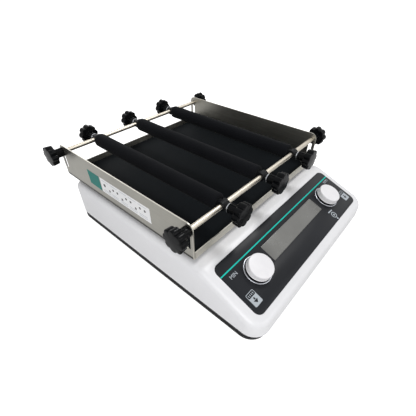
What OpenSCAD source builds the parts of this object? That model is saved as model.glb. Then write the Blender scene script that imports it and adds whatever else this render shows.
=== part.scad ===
// Bench orbital shaker: a tray with two rods and three padded bars that orbits on a low housing.
// Built about the middle of the housing's footprint, front towards -Y, then moved so that the
// origin lies on the bench under the middle of the whole object.

/* [Housing] */
// Width of the housing
base_w = 370; // [340:1:420]
// Depth of the housing
base_d = 436; // [410:1:470]
// Corner radius of the housing in plan
corner_r = 26; // [16:1:40]
// Radius of the rounded top edges
edge_r = 10; // [8:0.5:14]
// Height of the white housing above the black base
housing_h = 64; // [60:1:80]
// Wall thickness of the housing
wall = 4; // [3:0.5:5]
// Distance from the front wall back to the crest of the sloping panel
crest_setback = 102; // [92:1:110]
// Tilt of the control panel in degrees
panel_tilt = 20.5; // [15:0.5:24]
// Height of the black base strip
strip_h = 12; // [10:1:16]
// Thickness of the base floor
floor_t = 3; // [2:0.5:5]
// How far the strip sits back from the housing's front wall
strip_front_inset = 4; // [2:0.5:8]
// How far the strip sits back from the sides
strip_side_inset = 0.6; // [0.2:0.2:3]
// Height of the rubber feet
foot_h = 14; // [10:1:20]
// Radius of the rubber feet
foot_r = 15; // [11:1:18]
// Distance of each foot from the nearest walls
foot_inset = 46; // [40:1:60]

/* [Control panel] */
// Width of the dark panel
panel_w = 336; // [320:1:350]
// Length of the dark panel down the slope
panel_l = 88; // [80:1:92]
// Thickness of the panel
panel_t = 1; // [0.8:0.1:1.5]
// Distance from the crest to the panel's upper edge
panel_margin = 7.4; // [5:0.2:10]
// Corner radius of the panel
panel_r = 11; // [6:1:16]
// Width of the display window
window_w = 162; // [140:1:170]
// Length of the display window down the slope
window_l = 29; // [24:1:34]
// Distance from the panel's upper edge to the middle of the window
window_v = 39.5; // [35:0.5:44]
// Distance of each dial from the middle of the panel
dial_u = 115; // [105:1:120]
// Distance from the panel's upper edge to the dial centres
dial_v = 44.5; // [40:0.5:50]
// Radius of the dial caps
dial_r = 20; // [16:0.5:21]
// Height of the dial caps
dial_h = 11.5; // [9:0.5:14]
// Outer radius of the silver rings round the dials
dial_ring_r = 22.5; // [21.5:0.5:24]
// Travel of each dial when it is pushed
dial_push = 0.8; // [0.4:0.1:1.2]

/* [Tray] */
// Width of the tray
tray_w = 346; // [320:1:360]
// Depth of the tray
tray_d = 335; // [310:1:350]
// Height of the tray's side walls
tray_wall_h = 64; // [60:1:80]
// Height of the tray's front and rear lips
lip_h = 14; // [10:1:20]
// Thickness of the tray's sheet
sheet = 1.5; // [1:0.1:2]
// Radius of the top corners of the side walls
tray_corner_r = 11; // [6:1:15]
// Gap between the housing and the underside of the tray
tray_gap = 6; // [4:0.5:10]
// Distance of the orbit's middle behind the middle of the flat deck
orbit_back = 16; // [10:1:20]
// Radius of the orbit
orbit_r = 5; // [4:0.5:6]
// Thickness of the tray mat
mat_t = 2.5; // [2:0.5:4]
// Width of the slots in the side walls
slot_w = 7; // [6.6:0.1:9]
// Height of the slots' lower end above the tray's underside
slot_low = 17; // [14:1:22]
// Height of the slots' upper end above the tray's underside
slot_high = 55.5; // [54.8:0.1:57]

/* [Rods and bars] */
// Radius of the two rods
rod_r = 4; // [3.5:0.25:5]
// Radius of the stud at each rod end and in each clamp knob
stud_r = 3; // [2.5:0.25:3.2]
// Height of the rods above the tray's underside
rod_h = 51; // [47:0.5:51.5]
// Distance of the rods from the ends of the tray's side walls
rod_inset = 9; // [8:0.5:14]
// Place of the left bar, from the middle of the tray
bar_1_x = -101.5; // [-108:0.5:-94]
// Place of the middle bar, from the middle of the tray
bar_2_x = -1.5; // [-6:0.5:6]
// Place of the right bar, from the middle of the tray
bar_3_x = 97; // [92:0.5:106]
// Radius of the foam sleeves
foam_r = 13; // [10:0.5:14]
// Distance from each rod to the end of the foam
foam_gap = 9; // [8.5:0.25:12]
// Radius of a clamp block's boss round the rod
clamp_boss_r = 7.5; // [7:0.25:8]
// Width of a clamp block along the rod
clamp_w = 13; // [12.5:0.5:16]
// Distance from the rod to a clamp block's outer face
clamp_out = 9.5; // [9:0.25:12]
// Thickness of the washers
washer_t = 1.5; // [1:0.25:2]
// Radius of the washers
washer_r = 7; // [6.5:0.25:8]

/* [Star knobs] */
// Radius of a star knob over its lobes
star_r = 18.25; // [16:0.25:19]
// Number of lobes on a star knob
star_lobes = 8; // [6:1:10]
// Length of a star knob's hub under the head
hub_l = 15; // [12:0.5:18]
// Radius of a star knob's hub
hub_r = 7.4; // [7:0.2:9]
// Thickness of a star knob's head
head_t = 13; // [10:0.5:15]

/* [Drive] */
// Pitch radius of the large pulley
crank_pulley_r = 53; // [48:1:56]
// Pitch radius of the motor pulley
motor_pulley_r = 14; // [11:0.5:16]
// Width of the belt
belt_w = 8; // [6:0.5:9]
// Distance from the large pulley's pitch line out to the guide cranks
guide_space = 32; // [30:1:36]
// Distance of the support posts from the housing's side walls
post_side_inset = 65; // [60:1:73]
// Distance of the support posts from the ends of the flat deck, on average
post_end_inset = 57; // [52:1:63]
// Radius of the support posts
post_r = 8; // [7:0.5:9]
// Radius of the motor
motor_r = 36; // [30:1:38]

/* [Hidden] */
$fn = 64;
over = 1;
run_fit = 0.05;
seat_gap = 0.3;
half_share = 0.5;

// Levels above the bench
shell_z = foot_h + strip_h;
deck_z = shell_z + housing_h;
inside_z = foot_h + floor_t;
roof_z = deck_z - wall;
tray_z = deck_z + tray_gap;
mat_z = tray_z + sheet;
rod_z = tray_z + rod_h;

// Places in plan
crest_y = crest_setback - base_d / 2;
deck_l = base_d - crest_setback;
orbit_y = crest_y + deck_l / 2 + orbit_back;
post_x = base_w / 2 - post_side_inset;
post_y = deck_l / 2 - post_end_inset;
guide_ring_r = crank_pulley_r + guide_space;
tray_x = -orbit_r;
tray_front = orbit_y - tray_d / 2;
tray_rear = orbit_y + tray_d / 2;
front_rod_y = tray_front + rod_inset;
rear_rod_y = tray_rear - rod_inset;
wall_left = tray_x - tray_w / 2;
wall_right = tray_x + tray_w / 2;

// The origin lies under the middle of everything, from the front wall to the rear knobs
knob_l = hub_l + head_t;
rear_end = rear_rod_y + clamp_out + washer_t + seat_gap + knob_l;
origin_y = (rear_end - base_d / 2) / 2;

// Sloping panel: its height at a distance along Y
function slope_z(y) = deck_z + (y - crest_y) * tan(panel_tilt);

// Places a piece on the slope: u across, v down from the panel's upper edge, h above the face
module on_slope(u, v, h) {
    translate([0, crest_y, deck_z])
        rotate([panel_tilt, 0, 0])
            translate([u, -panel_margin - v, h])
                children();
}

module rounded_rect(w, d, r) {
    square([w - 2 * r, d], center = true);
    square([w, d - 2 * r], center = true);
    for (x = [-1, 1], y = [-1, 1])
        translate([x * (w / 2 - r), y * (d / 2 - r)])
            circle(r);
}

module stadium(w, h) {
    square([w, h - w], center = true);
    for (y = [-1, 1])
        translate([0, y * (h - w) / 2])
            circle(w / 2);
}

module tube(r_out, r_in, h) {
    rotate_extrude()
        translate([r_in, 0])
            square([r_out - r_in, h]);
}

module along_x() {
    rotate([0, 90, 0])
        children();
}

module along_y() {
    rotate([-90, 0, 0])
        children();
}

// Housing and base

screw_r = 2;
screw_head_r = 4;
screw_head_t = 2;
boss_r = 6;
boss_inset = 24;
base_screws = [
    for (x = [-1, 1], y = [-1, 1])
        [x * (base_w / 2 - boss_inset), y * (base_d / 2 - boss_inset)]
];
feet = [
    for (x = [-1, 1], y = [-1, 1])
        [x * (base_w / 2 - foot_inset), y * (base_d / 2 - foot_inset)]
];
foot_screw_l = 8;
foot_recess = 4;
foot_taper = 2;
rim_w = 5;
strip_d = base_d - strip_front_inset;
strip_y = strip_front_inset / 2;
groove_h = 3;
groove_t = 0.8;

module base_outline(inset) {
    translate([0, strip_y])
        rounded_rect(base_w - 2 * (strip_side_inset + inset), strip_d - 2 * inset, corner_r - inset);
}

module base_plate() {
    color([0.09, 0.09, 0.1])
        difference() {
            translate([0, 0, foot_h])
                linear_extrude(strip_h)
                    base_outline(0);
            translate([0, 0, inside_z])
                linear_extrude(strip_h)
                    base_outline(rim_w);
            translate([0, 0, foot_h + (strip_h - groove_h) / 2])
                linear_extrude(groove_h)
                    difference() {
                        base_outline(-over);
                        base_outline(groove_t);
                    }
            for (p = base_screws)
                translate([p[0], p[1], foot_h - over])
                    cylinder(r = screw_r + run_fit, h = floor_t + 2 * over);
            for (p = feet)
                translate([p[0], p[1], foot_h - over])
                    cylinder(r = screw_r + run_fit, h = floor_t + 2 * over);
        }
}

module rubber_feet() {
    color([0.06, 0.06, 0.06])
        for (p = feet)
            translate([p[0], p[1], 0])
                difference() {
                    cylinder(r1 = foot_r - foot_taper, r2 = foot_r, h = foot_h);
                    translate([0, 0, -over])
                        cylinder(r = screw_head_r + run_fit, h = foot_recess + over);
                    translate([0, 0, -over])
                        cylinder(r = screw_r + run_fit, h = foot_h + 2 * over);
                }
}

module screw(l) {
    cylinder(r = screw_r, h = l);
    translate([0, 0, -screw_head_t])
        cylinder(r = screw_head_r, h = screw_head_t);
}

module housing_screws() {
    color([0.6, 0.6, 0.62]) {
        for (p = feet)
            translate([p[0], p[1], foot_recess])
                screw(foot_h - foot_recess + foot_screw_l);
        for (p = base_screws)
            translate([p[0], p[1], foot_h])
                screw(floor_t + foot_screw_l);
    }
}

corner_steps = 6;
rim_disc_h = 2;
edge_in = corner_r - edge_r;

// One rounded corner of the top edge, given by its two directions
module top_corner(sx, sy) {
    for (i = [0:corner_steps]) {
        a = 90 * i / corner_steps;
        x = sx * (base_w / 2 - corner_r + edge_in * cos(a));
        y = sy * (base_d / 2 - corner_r + edge_in * sin(a));
        z = sy > 0 ? deck_z - edge_r : slope_z(y) - edge_r / cos(panel_tilt);
        translate([x, y, z])
            sphere(edge_r, $fn = 32);
    }
}

module housing_body() {
    hull() {
        for (sx = [-1, 1]) {
            for (sy = [-1, 1]) {
                top_corner(sx, sy);
                translate([sx * (base_w / 2 - corner_r), sy * (base_d / 2 - corner_r), shell_z])
                    cylinder(r = corner_r, h = rim_disc_h);
            }
            translate([sx * (base_w / 2 - edge_r), crest_y + edge_r * tan(panel_tilt / 2),
                       deck_z - edge_r])
                sphere(edge_r, $fn = 32);
        }
    }
}

// Side profile of the space under the roof, drawn in Y and Z
module side_space(inset, low) {
    front = inset - base_d / 2;
    rear = base_d / 2 - inset;
    polygon([
        [front, low],
        [front, slope_z(front) - inset / cos(panel_tilt)],
        [crest_y + inset * tan(panel_tilt / 2), deck_z - inset],
        [rear, deck_z - inset],
        [rear, low]
    ]);
}

module side_prism(inset, low) {
    rotate([90, 0, 90])
        translate([0, 0, -base_w / 2])
            linear_extrude(base_w)
                side_space(inset, low);
}

module housing_cavity() {
    intersection() {
        side_prism(wall, shell_z - over);
        translate([0, 0, shell_z - over])
            linear_extrude(housing_h + over)
                rounded_rect(base_w - 2 * wall, base_d - 2 * wall, corner_r - wall);
    }
}

post_clear = 2;
post_hole_r = post_r + orbit_r + post_clear;
posts = [
    for (x = [-1, 1], y = [-1, 1])
        [x * post_x, y * post_y]
];
inlet_inset = 80;
inlet_x = base_w / 2 - inlet_inset;
switch_apart = 43;
switch_x = inlet_x - switch_apart;
rear_part_z = shell_z + housing_h * half_share;
inlet_w = 27;
inlet_h = 19.5;
switch_w = 13;
switch_h = 19.4;
bezel_w = 2.2;
bezel_t = 2;
bezel_r = 2;
roof_hole_r = 5;
pcb_drop = 12;
pcb_post_r = 3;
pcb_hole_u = 88;
pcb_hole_v = 12;

module housing() {
    color([0.93, 0.93, 0.94]) {
        difference() {
            housing_body();
            housing_cavity();
            on_slope(0, panel_l / 2, -panel_t)
                linear_extrude(panel_t + over)
                    rounded_rect(panel_w, panel_l, panel_r);
            on_slope(0, window_v, -wall - over)
                linear_extrude(wall + 2 * over)
                    square([window_w, window_l], center = true);
            for (s = [-1, 1])
                on_slope(s * dial_u, dial_v, -wall - over)
                    cylinder(r = roof_hole_r, h = wall + 2 * over);
            for (p = posts)
                translate([p[0], orbit_y + p[1], roof_z - over])
                    cylinder(r = post_hole_r, h = wall + 2 * over);
            translate([inlet_x, base_d / 2, rear_part_z])
                cube([inlet_w + 2 * run_fit, 2 * wall + over, inlet_h + 2 * run_fit], center = true);
            translate([switch_x, base_d / 2, rear_part_z])
                cube([switch_w + 2 * run_fit, 2 * wall + over, switch_h + 2 * run_fit], center = true);
        }
        difference() {
            intersection() {
                for (p = base_screws)
                    translate([p[0], p[1], inside_z])
                        cylinder(r = boss_r, h = deck_z);
                side_prism(wall * half_share, inside_z);
            }
            for (p = base_screws)
                translate([p[0], p[1], inside_z - over])
                    cylinder(r = screw_r + run_fit, h = foot_screw_l + 2 * over);
        }
        for (s = [-1, 1], t = [-1, 1])
            on_slope(s * pcb_hole_u, window_v + t * (window_l / 2 + pcb_hole_v * half_share), -pcb_drop)
                cylinder(r = pcb_post_r, h = pcb_drop - wall * half_share);
    }
}

// Control panel

module control_panel() {
    color([0.21, 0.22, 0.24])
        difference() {
            on_slope(0, panel_l / 2, -panel_t)
                linear_extrude(panel_t)
                    rounded_rect(panel_w, panel_l, panel_r);
            on_slope(0, window_v, -panel_t - over)
                linear_extrude(panel_t + 2 * over)
                    square([window_w, window_l], center = true);
            for (s = [-1, 1])
                on_slope(s * dial_u, dial_v, -panel_t - over)
                    cylinder(r = roof_hole_r, h = panel_t + 2 * over);
        }
}

module display_window() {
    color([0.5, 0.51, 0.49])
        on_slope(0, window_v, -panel_t)
            linear_extrude(panel_t)
                square([window_w, window_l], center = true);
}

ring_w = 2.6;
ring_t = 1.2;

module dial_rings() {
    color([0.8, 0.8, 0.82])
        for (s = [-1, 1])
            on_slope(s * dial_u, dial_v, 0)
                tube(dial_ring_r, dial_ring_r - ring_w, ring_t);
}

pcb_w = 262;
pcb_l = 46;
pcb_t = 1.6;
lcd_margin = 0.5;

module display_board() {
    color([0.1, 0.35, 0.2]) {
        on_slope(0, window_v, -pcb_drop - pcb_t)
            linear_extrude(pcb_t)
                square([pcb_w, pcb_l], center = true);
        on_slope(0, window_v, -pcb_drop)
            linear_extrude(pcb_drop - panel_t)
                square([window_w - 2 * lcd_margin, window_l - 2 * lcd_margin], center = true);
    }
}

encoder_w = 14;
encoder_h = 6.5;
rotor_r = 5;
rotor_t = 2.6;
rotor_gap = 0.2;
rotor_space_h = 4.4;
bushing_r = 4.5;
bushing_top = 3;
shaft_r = 3;
shaft_low_r = 2;
shaft_top = 13;

// A push encoder: its case, with a space for the rotor, and the threaded bushing above it
module encoder() {
    difference() {
        union() {
            translate([-encoder_w / 2, -encoder_w / 2, 0])
                cube([encoder_w, encoder_w, encoder_h]);
            cylinder(r = bushing_r, h = pcb_drop + bushing_top);
        }
        translate([0, 0, -over])
            cylinder(r = rotor_r + seat_gap, h = rotor_space_h + over);
        cylinder(r = shaft_r, h = pcb_drop + bushing_top + over);
    }
}

module dial_encoders() {
    color([0.35, 0.35, 0.36])
        for (s = [-1, 1])
            on_slope(s * dial_u, dial_v, -pcb_drop)
                encoder();
}

module dial_rotor(side) {
    color([0.85, 0.85, 0.8])
        on_slope(side * dial_u, dial_v, rotor_gap - pcb_drop)
            tube(rotor_r, shaft_low_r + run_fit, rotor_t);
}

module dial_shaft(side) {
    low = dial_push + rotor_gap;
    shoulder = rotor_gap + rotor_t + dial_push + rotor_gap;
    color([0.7, 0.7, 0.72])
        on_slope(side * dial_u, dial_v, -pcb_drop) {
            translate([0, 0, low])
                cylinder(r = shaft_low_r, h = shoulder - low);
            translate([0, 0, shoulder])
                cylinder(r = shaft_r - run_fit, h = pcb_drop + shaft_top - shoulder);
        }
}

dial_lift = 4;
dial_wall = 2.4;
dial_dome = 1;
dial_round = 1.6;
dial_hub_r = 6;
dial_foot = 1.2;
band_step = 0.5;
dome_chord = dial_r - band_step - dial_round;
dome_sphere_r = (dome_chord * dome_chord + dial_dome * dial_dome) / (2 * dial_dome);

// A dial cap: a hollow skirt with a grip band, a slightly domed face and a hub on the shaft
module dial_cap() {
    difference() {
        rotate_extrude()
            difference() {
                union() {
                    square([dial_r, dial_foot]);
                    translate([0, dial_foot])
                        square([dial_r - band_step, dial_h - dial_foot - dial_dome - dial_round]);
                    translate([0, dial_h - dial_dome - dial_round])
                        square([dial_r - band_step - dial_round, dial_round]);
                    translate([dial_r - band_step - dial_round, dial_h - dial_dome - dial_round])
                        intersection() {
                            circle(dial_round);
                            square(dial_round);
                        }
                    intersection() {
                        translate([0, dial_h - dome_sphere_r])
                            circle(dome_sphere_r, $fn = 256);
                        translate([0, dial_h - dial_dome])
                            square([dial_r - band_step - dial_round, dial_dome]);
                    }
                }
                translate([dial_hub_r, -over])
                    square([dial_r - band_step - dial_wall - dial_hub_r,
                            dial_h - dial_wall - dial_dome + over]);
            }
        translate([0, 0, -over])
            cylinder(r = shaft_r, h = shaft_top - dial_lift + over + seat_gap);
    }
}

module dial(side) {
    color([0.95, 0.95, 0.95])
        on_slope(side * dial_u, dial_v, dial_lift)
            dial_cap();
}

// Power parts at the rear

module bezel(w, h) {
    rotate([90, 0, 0])
        translate([0, 0, -bezel_t])
            linear_extrude(bezel_t)
                rounded_rect(w + 2 * bezel_w, h + 2 * bezel_w, bezel_r);
}

inlet_body_d = 18;
inlet_socket_w = 24;
inlet_socket_h = 16.5;
inlet_socket_r = 4;
inlet_socket_d = 16;
blade_w = 2;
blade_h = 5;
blade_l = 13;
blade_x = 7;
blade_low = 2;

module power_inlet() {
    color([0.08, 0.08, 0.08])
        translate([inlet_x, base_d / 2, rear_part_z]) {
            difference() {
                union() {
                    bezel(inlet_w, inlet_h);
                    translate([-inlet_w / 2, -inlet_body_d, -inlet_h / 2])
                        cube([inlet_w, inlet_body_d, inlet_h]);
                }
                translate([0, bezel_t + over, 0])
                    rotate([90, 0, 0])
                        linear_extrude(inlet_socket_d + bezel_t + over)
                            rounded_rect(inlet_socket_w, inlet_socket_h, inlet_socket_r);
            }
            for (x = [-1, 0, 1])
                translate([x * blade_x, -inlet_socket_d - over, x == 0 ? blade_low : -blade_low])
                    translate([-blade_w / 2, 0, -blade_h / 2])
                        cube([blade_w, blade_l + over, blade_h]);
        }
}

switch_body_d = 14;
rocker_gap = 0.4;
rocker_wall = 1;
rocker_r = 9;
rocker_pin_r = 1.2;
rocker_axis_y = 4;

module switch_frame() {
    color([0.08, 0.08, 0.08])
        translate([switch_x, base_d / 2, rear_part_z])
            difference() {
                union() {
                    bezel(switch_w, switch_h);
                    translate([-switch_w / 2, -switch_body_d, -switch_h / 2])
                        cube([switch_w, switch_body_d, switch_h]);
                }
                translate([rocker_wall - switch_w / 2, rocker_wall - switch_body_d,
                           rocker_wall - switch_h / 2])
                    cube([switch_w - 2 * rocker_wall, switch_body_d + bezel_t, switch_h - 2 * rocker_wall]);
                translate([0, -rocker_axis_y, 0])
                    along_x()
                        cylinder(r = rocker_pin_r + run_fit, h = switch_w - rocker_wall, center = true);
            }
}

rocker_mid = 5.2;
rocker_edge = 8;
rocker_tilt = -7;

// Two flats meet at a low angle in the rocker's middle; at rest it is tipped to its off side
module power_rocker() {
    inner_w = switch_w - 2 * rocker_wall - 2 * rocker_gap;
    inner_h = switch_h - 2 * rocker_wall - 2 * rocker_gap;
    color([0.08, 0.08, 0.08])
        translate([switch_x, base_d / 2 - rocker_axis_y, rear_part_z])
            rotate([rocker_tilt, 0, 0]) {
                rotate([90, 0, 90])
                    translate([0, 0, -inner_w / 2])
                        linear_extrude(inner_w)
                            intersection() {
                                circle(rocker_r - seat_gap, $fn = 96);
                                polygon([
                                    [-rocker_axis_y, -inner_h / 2],
                                    [rocker_edge, -inner_h / 2],
                                    [rocker_mid, 0],
                                    [rocker_edge, inner_h / 2],
                                    [-rocker_axis_y, inner_h / 2]
                                ]);
                            }
                along_x()
                    cylinder(r = rocker_pin_r, h = switch_w - rocker_wall - 2 * run_fit, center = true);
            }
}

// Drive

block_r = 24;
block_foot_r = 38;
block_foot_t = 5;
bearing_r = 17.5;
bearing_bore = 7.5;
bearing_w = 11;
block_h = 31;
block_floor = 3;
block_shoulder_r = 15;

module bearing_block() {
    spacer = block_h - block_floor - 2 * bearing_w;
    color([0.62, 0.63, 0.65])
        translate([0, orbit_y, inside_z])
            difference() {
                union() {
                    cylinder(r = block_foot_r, h = block_foot_t);
                    cylinder(r = block_r, h = block_h);
                }
                translate([0, 0, block_floor])
                    cylinder(r = bearing_r, h = bearing_w);
                translate([0, 0, block_floor])
                    cylinder(r = block_shoulder_r, h = block_h);
                translate([0, 0, block_floor + bearing_w + spacer])
                    cylinder(r = bearing_r, h = bearing_w + over);
            }
}

module shaft_bearings() {
    color([0.75, 0.76, 0.78])
        for (z = [block_floor, block_h - bearing_w])
            translate([0, orbit_y, inside_z + z])
                tube(bearing_r, bearing_bore, bearing_w);
}

pulley_gap = 1;
flange_t = 1.2;
flange_out = 2;
belt_t = 2;
pulley_z = inside_z + block_h + pulley_gap;
pulley_h = belt_w + 2 * flange_t + 2 * seat_gap;
belt_z = pulley_z + flange_t + seat_gap;
pin_drop = 6;
pin_top = roof_z - pin_drop;
weight_h = 6;
weight_in = 24;
weight_rim = 4;

// A belt pulley with two flanges
module pulley(r) {
    cylinder(r = r - belt_t / 2, h = pulley_h);
    for (z = [0, pulley_h - flange_t])
        translate([0, 0, z])
            cylinder(r = r + flange_out, h = flange_t);
}

module main_crank() {
    color([0.66, 0.66, 0.68])
        translate([0, orbit_y, 0]) {
            translate([0, 0, inside_z + block_floor + pulley_gap])
                cylinder(r = bearing_bore - run_fit, h = pulley_z - inside_z - block_floor - pulley_gap);
            translate([0, 0, pulley_z])
                pulley(crank_pulley_r);
            translate([-orbit_r, 0, pulley_z])
                cylinder(r = bearing_bore - run_fit, h = pin_top - pulley_z);
        }
}

// The counterweight is a half ring on the side away from the crank pin
module counterweight() {
    color([0.45, 0.45, 0.47])
        translate([0, orbit_y, pulley_z + pulley_h])
            intersection() {
                tube(crank_pulley_r - weight_rim, weight_in, weight_h);
                translate([0, -crank_pulley_r, 0])
                    cube([crank_pulley_r, 2 * crank_pulley_r, weight_h]);
            }
}

motor_h = 30;
motor_x = -100;
motor_y = -30;
motor_shaft_r = 4;
motor_flange_r = 12;
motor_flange_t = 2;

module motor() {
    color([0.25, 0.25, 0.27])
        translate([motor_x, motor_y, inside_z]) {
            cylinder(r = motor_r, h = motor_h - motor_flange_t);
            cylinder(r = motor_flange_r, h = motor_h);
            cylinder(r = motor_shaft_r, h = pulley_z + pulley_h - inside_z);
        }
}

module motor_pulley() {
    color([0.66, 0.66, 0.68])
        translate([motor_x, motor_y, pulley_z])
            difference() {
                pulley(motor_pulley_r);
                translate([0, 0, -over])
                    cylinder(r = motor_shaft_r + run_fit, h = pulley_h + 2 * over);
            }
}

// Flat outline of the belt's loop round both pulleys
drive_dx = motor_x;
drive_dy = motor_y - orbit_y;
drive_turn = atan2(drive_dy, drive_dx);

module belt_outline(grow) {
    hull() {
        circle(crank_pulley_r + grow);
        translate([sqrt(drive_dx * drive_dx + drive_dy * drive_dy), 0])
            circle(motor_pulley_r + grow);
    }
}

module drive_belt() {
    color([0.1, 0.1, 0.1])
        translate([0, orbit_y, belt_z])
            rotate([0, 0, drive_turn])
                linear_extrude(belt_w)
                    difference() {
                        belt_outline(belt_t / 2);
                        belt_outline(seat_gap - belt_t / 2);
                    }
}

guide_turns = [-90, 150, 30];
guide_bore = 6;
guide_block_r = 15;
guide_foot_r = 20;
guide_block_top = pulley_z + pulley_h + over;
guide_web_r = 13;
guide_web_t = 4;
guide_bearing_r = 14;
guide_bearing_w = 8;
guide_floor = 3;
open_gap = 0.2;

module at_guide(i) {
    translate([guide_ring_r * cos(guide_turns[i]), orbit_y + guide_ring_r * sin(guide_turns[i]), 0])
        children();
}

module guide_blocks() {
    color([0.62, 0.63, 0.65])
        for (i = [0:2])
            at_guide(i)
                translate([0, 0, inside_z])
                    difference() {
                        union() {
                            cylinder(r = guide_foot_r, h = block_foot_t);
                            cylinder(r = guide_block_r, h = guide_block_top - inside_z);
                        }
                        translate([0, 0, guide_floor])
                            cylinder(r = guide_bore + run_fit, h = guide_block_top);
                    }
}

// An idle crank: a journal, a web and a pin as far off centre as the main crank's
module guide_crank(i) {
    web_z = guide_block_top + seat_gap;
    color([0.7, 0.7, 0.72])
        at_guide(i) {
            translate([0, 0, inside_z + guide_floor + seat_gap])
                cylinder(r = guide_bore, h = web_z - inside_z - guide_floor);
            translate([0, 0, web_z])
                cylinder(r = guide_web_r, h = guide_web_t);
            translate([-orbit_r, 0, web_z])
                cylinder(r = guide_bore - open_gap, h = pin_top - web_z);
        }
}

carrier_t = 6;
carrier_drop = 5;
carrier_z = roof_z - carrier_t - carrier_drop;
carrier_hub_r = 26;
carrier_arm = 24;
carrier_pad_r = 18;
spigot_r = 5;

module arm(x, y) {
    length = sqrt(x * x + y * y);
    rotate([0, 0, atan2(y, x)])
        translate([0, -carrier_arm / 2])
            square([length, carrier_arm]);
    translate([x, y])
        circle(carrier_pad_r);
}

module carrier() {
    color([0.68, 0.69, 0.71])
        translate([tray_x, orbit_y, 0])
            difference() {
                union() {
                    translate([0, 0, carrier_z])
                        linear_extrude(carrier_t) {
                            circle(carrier_hub_r);
                            for (p = posts)
                                arm(p[0], p[1]);
                            for (a = guide_turns)
                                arm(guide_ring_r * cos(a), guide_ring_r * sin(a));
                        }
                    translate([0, 0, carrier_z + carrier_t - bearing_w])
                        cylinder(r = bearing_r + wall, h = bearing_w);
                    for (a = guide_turns)
                        rotate([0, 0, a])
                            translate([guide_ring_r, 0, carrier_z + carrier_t - guide_bearing_w])
                                cylinder(r = carrier_pad_r, h = guide_bearing_w);
                }
                translate([0, 0, carrier_z - bearing_w])
                    cylinder(r = bearing_r, h = 2 * bearing_w + carrier_t);
                for (a = guide_turns)
                    rotate([0, 0, a])
                        translate([guide_ring_r, 0, carrier_z - bearing_w])
                            cylinder(r = guide_bearing_r, h = 2 * bearing_w + carrier_t);
                for (p = posts)
                    translate([p[0], p[1], carrier_z - over])
                        cylinder(r = spigot_r + run_fit, h = carrier_t + 2 * over);
            }
}

module carrier_bearings() {
    color([0.75, 0.76, 0.78])
        translate([tray_x, orbit_y, carrier_z + carrier_t]) {
            translate([0, 0, -bearing_w])
                tube(bearing_r, bearing_bore, bearing_w);
            for (a = guide_turns)
                rotate([0, 0, a])
                    translate([guide_ring_r, 0, -guide_bearing_w])
                        tube(guide_bearing_r, guide_bore, guide_bearing_w);
        }
}

tray_screw_r = 2.5;
tray_screw_head_r = 5;
tray_screw_l = 9;

module support_posts() {
    color([0.7, 0.7, 0.72])
        for (p = posts)
            translate([tray_x + p[0], orbit_y + p[1], carrier_z])
                difference() {
                    union() {
                        cylinder(r = spigot_r, h = carrier_t);
                        translate([0, 0, carrier_t])
                            cylinder(r = post_r, h = tray_z - carrier_z - carrier_t);
                    }
                    translate([0, 0, tray_z - carrier_z - tray_screw_l])
                        cylinder(r = tray_screw_r + run_fit, h = tray_screw_l + over);
                }
}

module tray_screws() {
    color([0.7, 0.7, 0.72])
        for (p = posts)
            translate([tray_x + p[0], orbit_y + p[1], 0]) {
                translate([0, 0, tray_z])
                    cylinder(r1 = tray_screw_head_r - sheet, r2 = tray_screw_head_r, h = sheet);
                translate([0, 0, tray_z - tray_screw_l + seat_gap])
                    cylinder(r = tray_screw_r, h = tray_screw_l);
            }
}

// Tray

bend_r = 2.5;
tray_low_r = 4;

// Cross section of one bent-up edge: a wall of height h whose outer face is at x = 0
module bent_edge(h, reach) {
    translate([0, bend_r])
        square([sheet, h - bend_r]);
    translate([bend_r, 0])
        square([reach - bend_r, sheet]);
    translate([bend_r, bend_r])
        difference() {
            circle(bend_r);
            circle(bend_r - sheet);
            translate([-2 * bend_r, 0])
                square([4 * bend_r, 2 * bend_r]);
            translate([0, -2 * bend_r])
                square([2 * bend_r, 4 * bend_r]);
        }
}

// Outline of a side wall in Y and Z: round top corners, small round low ones
module wall_outline() {
    union() {
        translate([tray_front + tray_corner_r, 0])
            square([tray_d - 2 * tray_corner_r, tray_wall_h]);
        translate([tray_front, tray_low_r])
            square([tray_d, tray_wall_h - tray_low_r - tray_corner_r]);
        translate([tray_front + tray_low_r, 0])
            square([tray_d - 2 * tray_low_r, tray_wall_h - tray_corner_r]);
        for (y = [tray_front + tray_corner_r, tray_rear - tray_corner_r])
            translate([y, tray_wall_h - tray_corner_r])
                circle(tray_corner_r);
        for (y = [tray_front + tray_low_r, tray_rear - tray_low_r])
            translate([y, tray_low_r])
                circle(tray_low_r);
    }
}

module side_wall() {
    intersection() {
        translate([0, tray_rear, 0])
            rotate([90, 0, 0])
                linear_extrude(tray_d)
                    bent_edge(tray_wall_h, tray_w / 2);
        rotate([90, 0, 90])
            linear_extrude(tray_w / 2)
                difference() {
                    wall_outline();
                    for (y = [front_rod_y, rear_rod_y])
                        translate([y, (slot_low + slot_high) / 2])
                            stadium(slot_w, slot_high - slot_low);
                }
    }
}

module lip() {
    rotate([90, 0, 90])
        linear_extrude(tray_w - 2 * bend_r)
            bent_edge(lip_h, tray_d * half_share);
}

module tray() {
    color([0.6, 0.6, 0.57])
        difference() {
            translate([0, 0, tray_z]) {
                translate([wall_left, 0, 0])
                    side_wall();
                translate([wall_right, 0, 0])
                    mirror([1, 0, 0])
                        side_wall();
                translate([wall_left + bend_r, tray_front, 0])
                    lip();
                translate([wall_left + bend_r, tray_rear, 0])
                    mirror([0, 1, 0])
                        lip();
            }
            for (p = posts)
                translate([tray_x + p[0], orbit_y + p[1], tray_z])
                    cylinder(r1 = tray_screw_head_r - sheet + run_fit, r2 = tray_screw_head_r + run_fit,
                             h = sheet);
        }
}

mat_gap = 1;
mat_r = 3;

module tray_mat() {
    edge = bend_r + mat_gap;
    color([0.07, 0.07, 0.08])
        translate([tray_x, orbit_y, mat_z])
            linear_extrude(mat_t)
                rounded_rect(tray_w - 2 * edge, tray_d - 2 * edge, mat_r);
}

// Rods, bars and knobs

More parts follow.
